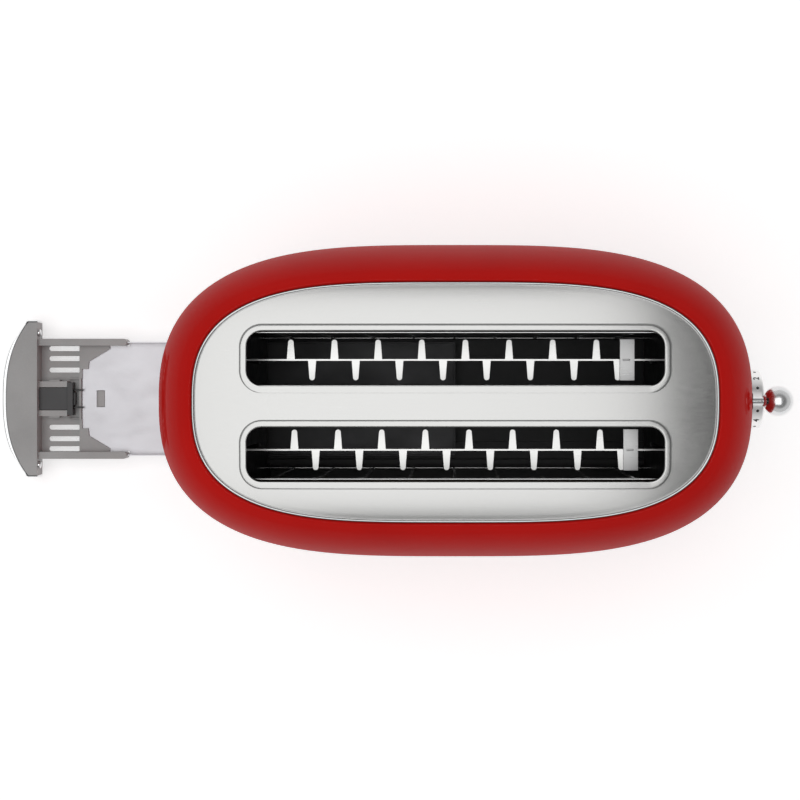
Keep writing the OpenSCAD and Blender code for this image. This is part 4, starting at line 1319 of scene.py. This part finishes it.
@dataclass
class Tray:
    """The crumb tray, drawn part way out at the left end."""

    out: float = -131.5 * MM
    chord: float = -159.3 * MM
    half: float = 54.5 * MM
    lip_half: float = 43.8 * MM
    corner: float = 2.2 * MM
    outline: Outline = BODY.band

    def rim_path(self, half_y: float, corners: bool, steps: int) -> list[tuple[Vector, Vector]]:
        """Return the front's edge from one end to the other, each point with its outward direction.

        Args:
            half_y: half the width covered.
            corners: whether it turns back to the chord at each end.
            steps: number of steps round the curve.

        Returns:
            Pairs of place and outward direction.
        """
        places = []
        for k in range(steps + 1):
            y = half_y * math.sin(math.radians(-90 + 180 * k / steps))
            places.append(Vector((-self.outline.x_at(y), y, 0)))
        if corners:
            r = self.corner
            ends = []
            for side in (-1, 1):
                x = -self.outline.x_at(half_y - r)
                turn = [Vector((x + r * (1 - math.cos(a)), side * (half_y - r + r * math.sin(a)), 0))
                        for a in (math.radians(18 * k) for k in range(1, 6))]
                ends.append(turn + [Vector((self.chord, side * half_y, 0))])
            places = [p for p in places if abs(p.y) < half_y - r]
            places = list(reversed(ends[0])) + places + ends[1]
        found = []
        for i, p in enumerate(places):
            along = places[min(i + 1, len(places) - 1)] - places[max(i - 1, 0)]
            out = Vector((-along.y, along.x, 0)).normalized()
            found.append((p + Vector((self.out, 0, 0)), out))
        return found

    def front_trim(self) -> Piece:
        """Build the polished edge of the front and its pull lip.

        Returns:
            The trim.
        """
        section = [(0.3, 12.1), (0.05, 12.5), (0, 14), (0, 24.3), (0.1, 24.9), (0.45, 25.4), (0.8, 25.5),
                   (1.1, 25.2), (1.2, 24.6), (1.2, 12.5), (0.9, 12.1)]
        rings = [[p - n * d * MM + Vector((0, 0, z * MM)) for d, z in section]
                 for p, n in self.rim_path(self.half, True, 80)]
        shape = Shape().loft(rings)
        lip = []
        for p, n in self.rim_path(self.lip_half, False, 64):
            reach = 0.4 + 2.6 * max(0.0, 1 - abs(p.y / self.lip_half) ** 5) ** 0.6
            nose = ((0.7, 19.7), (0.95, 20.1), (1.0, 20.9), (0.92, 21.9), (0.75, 22.5), (0.6, 22.6))
            profile = [(-0.8, 19.9), *((reach * share, z) for share, z in nose), (-0.8, 22.6)]
            lip.append([p + n * d * MM + Vector((0, 0, z * MM)) for d, z in profile])
        shape.loft(lip)
        return dress(shape.object("tray_front_rim", 45), Finishes.chrome, "tray", "tray_front_trim")

    def studs(self) -> Piece:
        """Build the two turned studs.

        Returns:
            The studs.
        """
        low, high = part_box("trim_studs")
        r = (high[2] - low[2]) / 2
        shape = Shape()
        length = high[0] - low[0]
        head = ((2.1, 0.8), (2.0, 0.0), (0.7, 0.0), (0.2, 0.5), (0.0, 1.2))
        profile = [(0, 0), (0, r - 0.8 * MM), *((length - a * MM, r - d * MM) for a, d in head), (length, 0)]
        for y in (low[1] + r, high[1] - r):
            shape.revolve(profile, Vector((low[0], y, (low[2] + high[2]) / 2)), Vector((1, 0, 0)), 40)
        return dress(shape.object("tray_studs"), Finishes.chrome, "tray", "trim_studs")

    def build(self) -> None:
        """Build every piece of the tray."""
        self.front_trim()
        self.studs()
        rounded_copy("tray_block", "tray", Finishes.tray_grey, 0.45 * MM)
        rounded_copy("tray_pan", "tray", Finishes.pan, 0.2 * MM)
        rounded_copy("tray_latch", "tray", Finishes.base, 0.2 * MM)
        rounded_copy("tray_latch_jaw", "tray_jaws", Finishes.black, 0.2 * MM)


@dataclass(frozen=True)
class CarriedOver:
    """The CAD nodes whose shapes are right as they are, and the finish of each."""

    finishes: tuple[tuple[Finish, str], ...] = (
        (Finishes.screw, "base_screws"),
        (Finishes.black, "cord_gland"),
        # the end plates, reflectors and brackets take the zinc darkened as painted shade
        (Finishes.zinc, "end_plate_left end_plate_right reflector_front reflector_back"),
        (Finishes.zinc, "top_bracket bottom_bracket"),
        (Finishes.mica, "heater_board_front heater_board_centre heater_board_back"),
        (Finishes.ribbon, "heater_winding_front heater_winding_centre heater_winding_back"),
        (Finishes.wire, "guide_front_outer guide_front_inner guide_back_inner guide_back_outer"),
        (Finishes.rail, "bread_rail_front bread_rail_back"),
        (Finishes.iron, "keeper_plate magnet_core"),
        (Finishes.chrome, "lever_arm guide_rods"),
        (Finishes.spring, "return_springs"),
        (Finishes.copper, "magnet_coil"),
        (Finishes.board, "circuit_board"),
        (Finishes.case, "board_components button_switches"),
        (Finishes.bright_zinc, "potentiometer dial_shaft"),
        (Finishes.base, "tray_runners"),
        (Finishes.lead, "mains_leads"))

    def build(self) -> None:
        """Dress every carried-over node."""
        for finish, names in self.finishes:
            for name in names.split():
                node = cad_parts[name]
                if not node.material_slots:
                    node.data.materials.append(finish.material())
                for slot in node.material_slots:
                    slot.material = finish.material()
                LOG.info("%s keeps its own shape, in %s", name, finish.name)
        rounded_copy("base_plate", "body", Finishes.base, 0.35 * MM)
        rounded_copy("rail_saddles", "carriage", Finishes.saddle, 0.25 * MM)
        rounded_copy("carriage_bracket", "carriage", Finishes.bright_zinc, 0.2 * MM)


@dataclass
class Studio:
    """The floor, the light and the camera."""

    floor_shade: float = 0.93
    floor_lift: float = 0.46
    box_length: float = 1.85
    box_width: float = 2.0
    box_height: float = 2.2
    box_shift: float = -0.35
    box_radiance: float = 1.75
    high_shade: float = 0.2
    low_shade: float = 0.66
    shade_span: tuple[float, float] = (0.45, 0.66)
    lens: float = 70.5
    shift: tuple[float, float] = (-0.0694, -0.0225)
    eye: tuple[float, float, float] = (0.0, 0.0117, 1.115)

    def floor(self) -> None:
        """Lay the pale floor."""
        shape = Shape()
        bmesh.ops.create_grid(shape.bm, x_segments=8, y_segments=8, size=6.0)
        piece = shape.object("floor")
        kit = Kit("pale floor")
        cloud = kit.noise(kit.place(), 1.5, 2.0)
        low, high = ((shade,) * 3 for shade in (self.floor_shade - 0.005, self.floor_shade))
        kit.colour(cloud, (0.3, low), (0.7, high))
        kit.constant(Roughness=0.9, Specular_IOR_Level=0.1)
        rays = kit.tree.nodes.new("ShaderNodeLightPath")
        direct = kit.combine(rays.outputs["Is Camera Ray"], rays.outputs["Is Transmission Ray"], "MAXIMUM")
        seen = kit.span(kit.combine(direct, rays.outputs["Is Glossy Ray"], "MAXIMUM"), 0, 1, 0, self.floor_lift)
        kit.constant(Emission_Color=(1.0, 1.0, 1.0, 1.0))
        kit.link(seen, kit.shader.inputs["Emission Strength"])
        piece.data.materials.append(kit.material)

    def light(self) -> None:
        """Hang the overhead softbox and set the surroundings."""
        lamp = bpy.data.lights.new("softbox", "AREA")
        lamp.shape = "RECTANGLE"
        lamp.size, lamp.size_y = self.box_length, self.box_width
        lamp.energy = self.box_radiance * math.pi * self.box_length * self.box_width
        hung = bpy.data.objects.new("softbox", lamp)
        hung.location = (self.box_shift, 0.0, self.box_height)
        bpy.context.scene.collection.objects.link(hung)
        world = bpy.data.worlds.new("surroundings")
        world.use_nodes = True
        tree = world.node_tree
        coords = tree.nodes.new("ShaderNodeTexCoord")
        split = tree.nodes.new("ShaderNodeSeparateXYZ")
        ramp = tree.nodes.new("ShaderNodeValToRGB")
        tree.links.new(coords.outputs["Generated"], split.inputs[0])
        tree.links.new(split.outputs["Z"], ramp.inputs[0])
        shades = (self.low_shade, self.high_shade)
        for stop, place, shade in zip(ramp.color_ramp.elements, self.shade_span, shades):
            stop.position, stop.color = place, (shade, shade, shade, 1)
        tree.links.new(ramp.outputs[0], tree.nodes["Background"].inputs[0])
        bpy.context.scene.world = world

    def camera(self) -> None:
        """Stand the camera above the toaster."""
        lens = bpy.data.cameras.new("camera")
        lens.sensor_width, lens.lens = 36.0, self.lens
        lens.shift_x, lens.shift_y = self.shift
        lens.clip_start, lens.clip_end = 0.05, 50.0
        eye = bpy.data.objects.new("camera", lens)
        eye.location = self.eye
        bpy.context.scene.collection.objects.link(eye)
        bpy.context.scene.camera = eye

    def build(self) -> None:
        """Set the whole stage."""
        self.floor()
        self.light()
        self.camera()
        bpy.context.scene.view_settings.view_transform = "Standard"


def main() -> None:
    """Build the stage and every sub-assembly."""
    logging.basicConfig(level=logging.INFO, format="%(message)s")
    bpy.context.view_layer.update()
    Studio().build()
    ShellAssembly().build()
    Controls().build()
    Tray().build()
    CarriedOver().build()


if __name__ == "__main__":
    main()
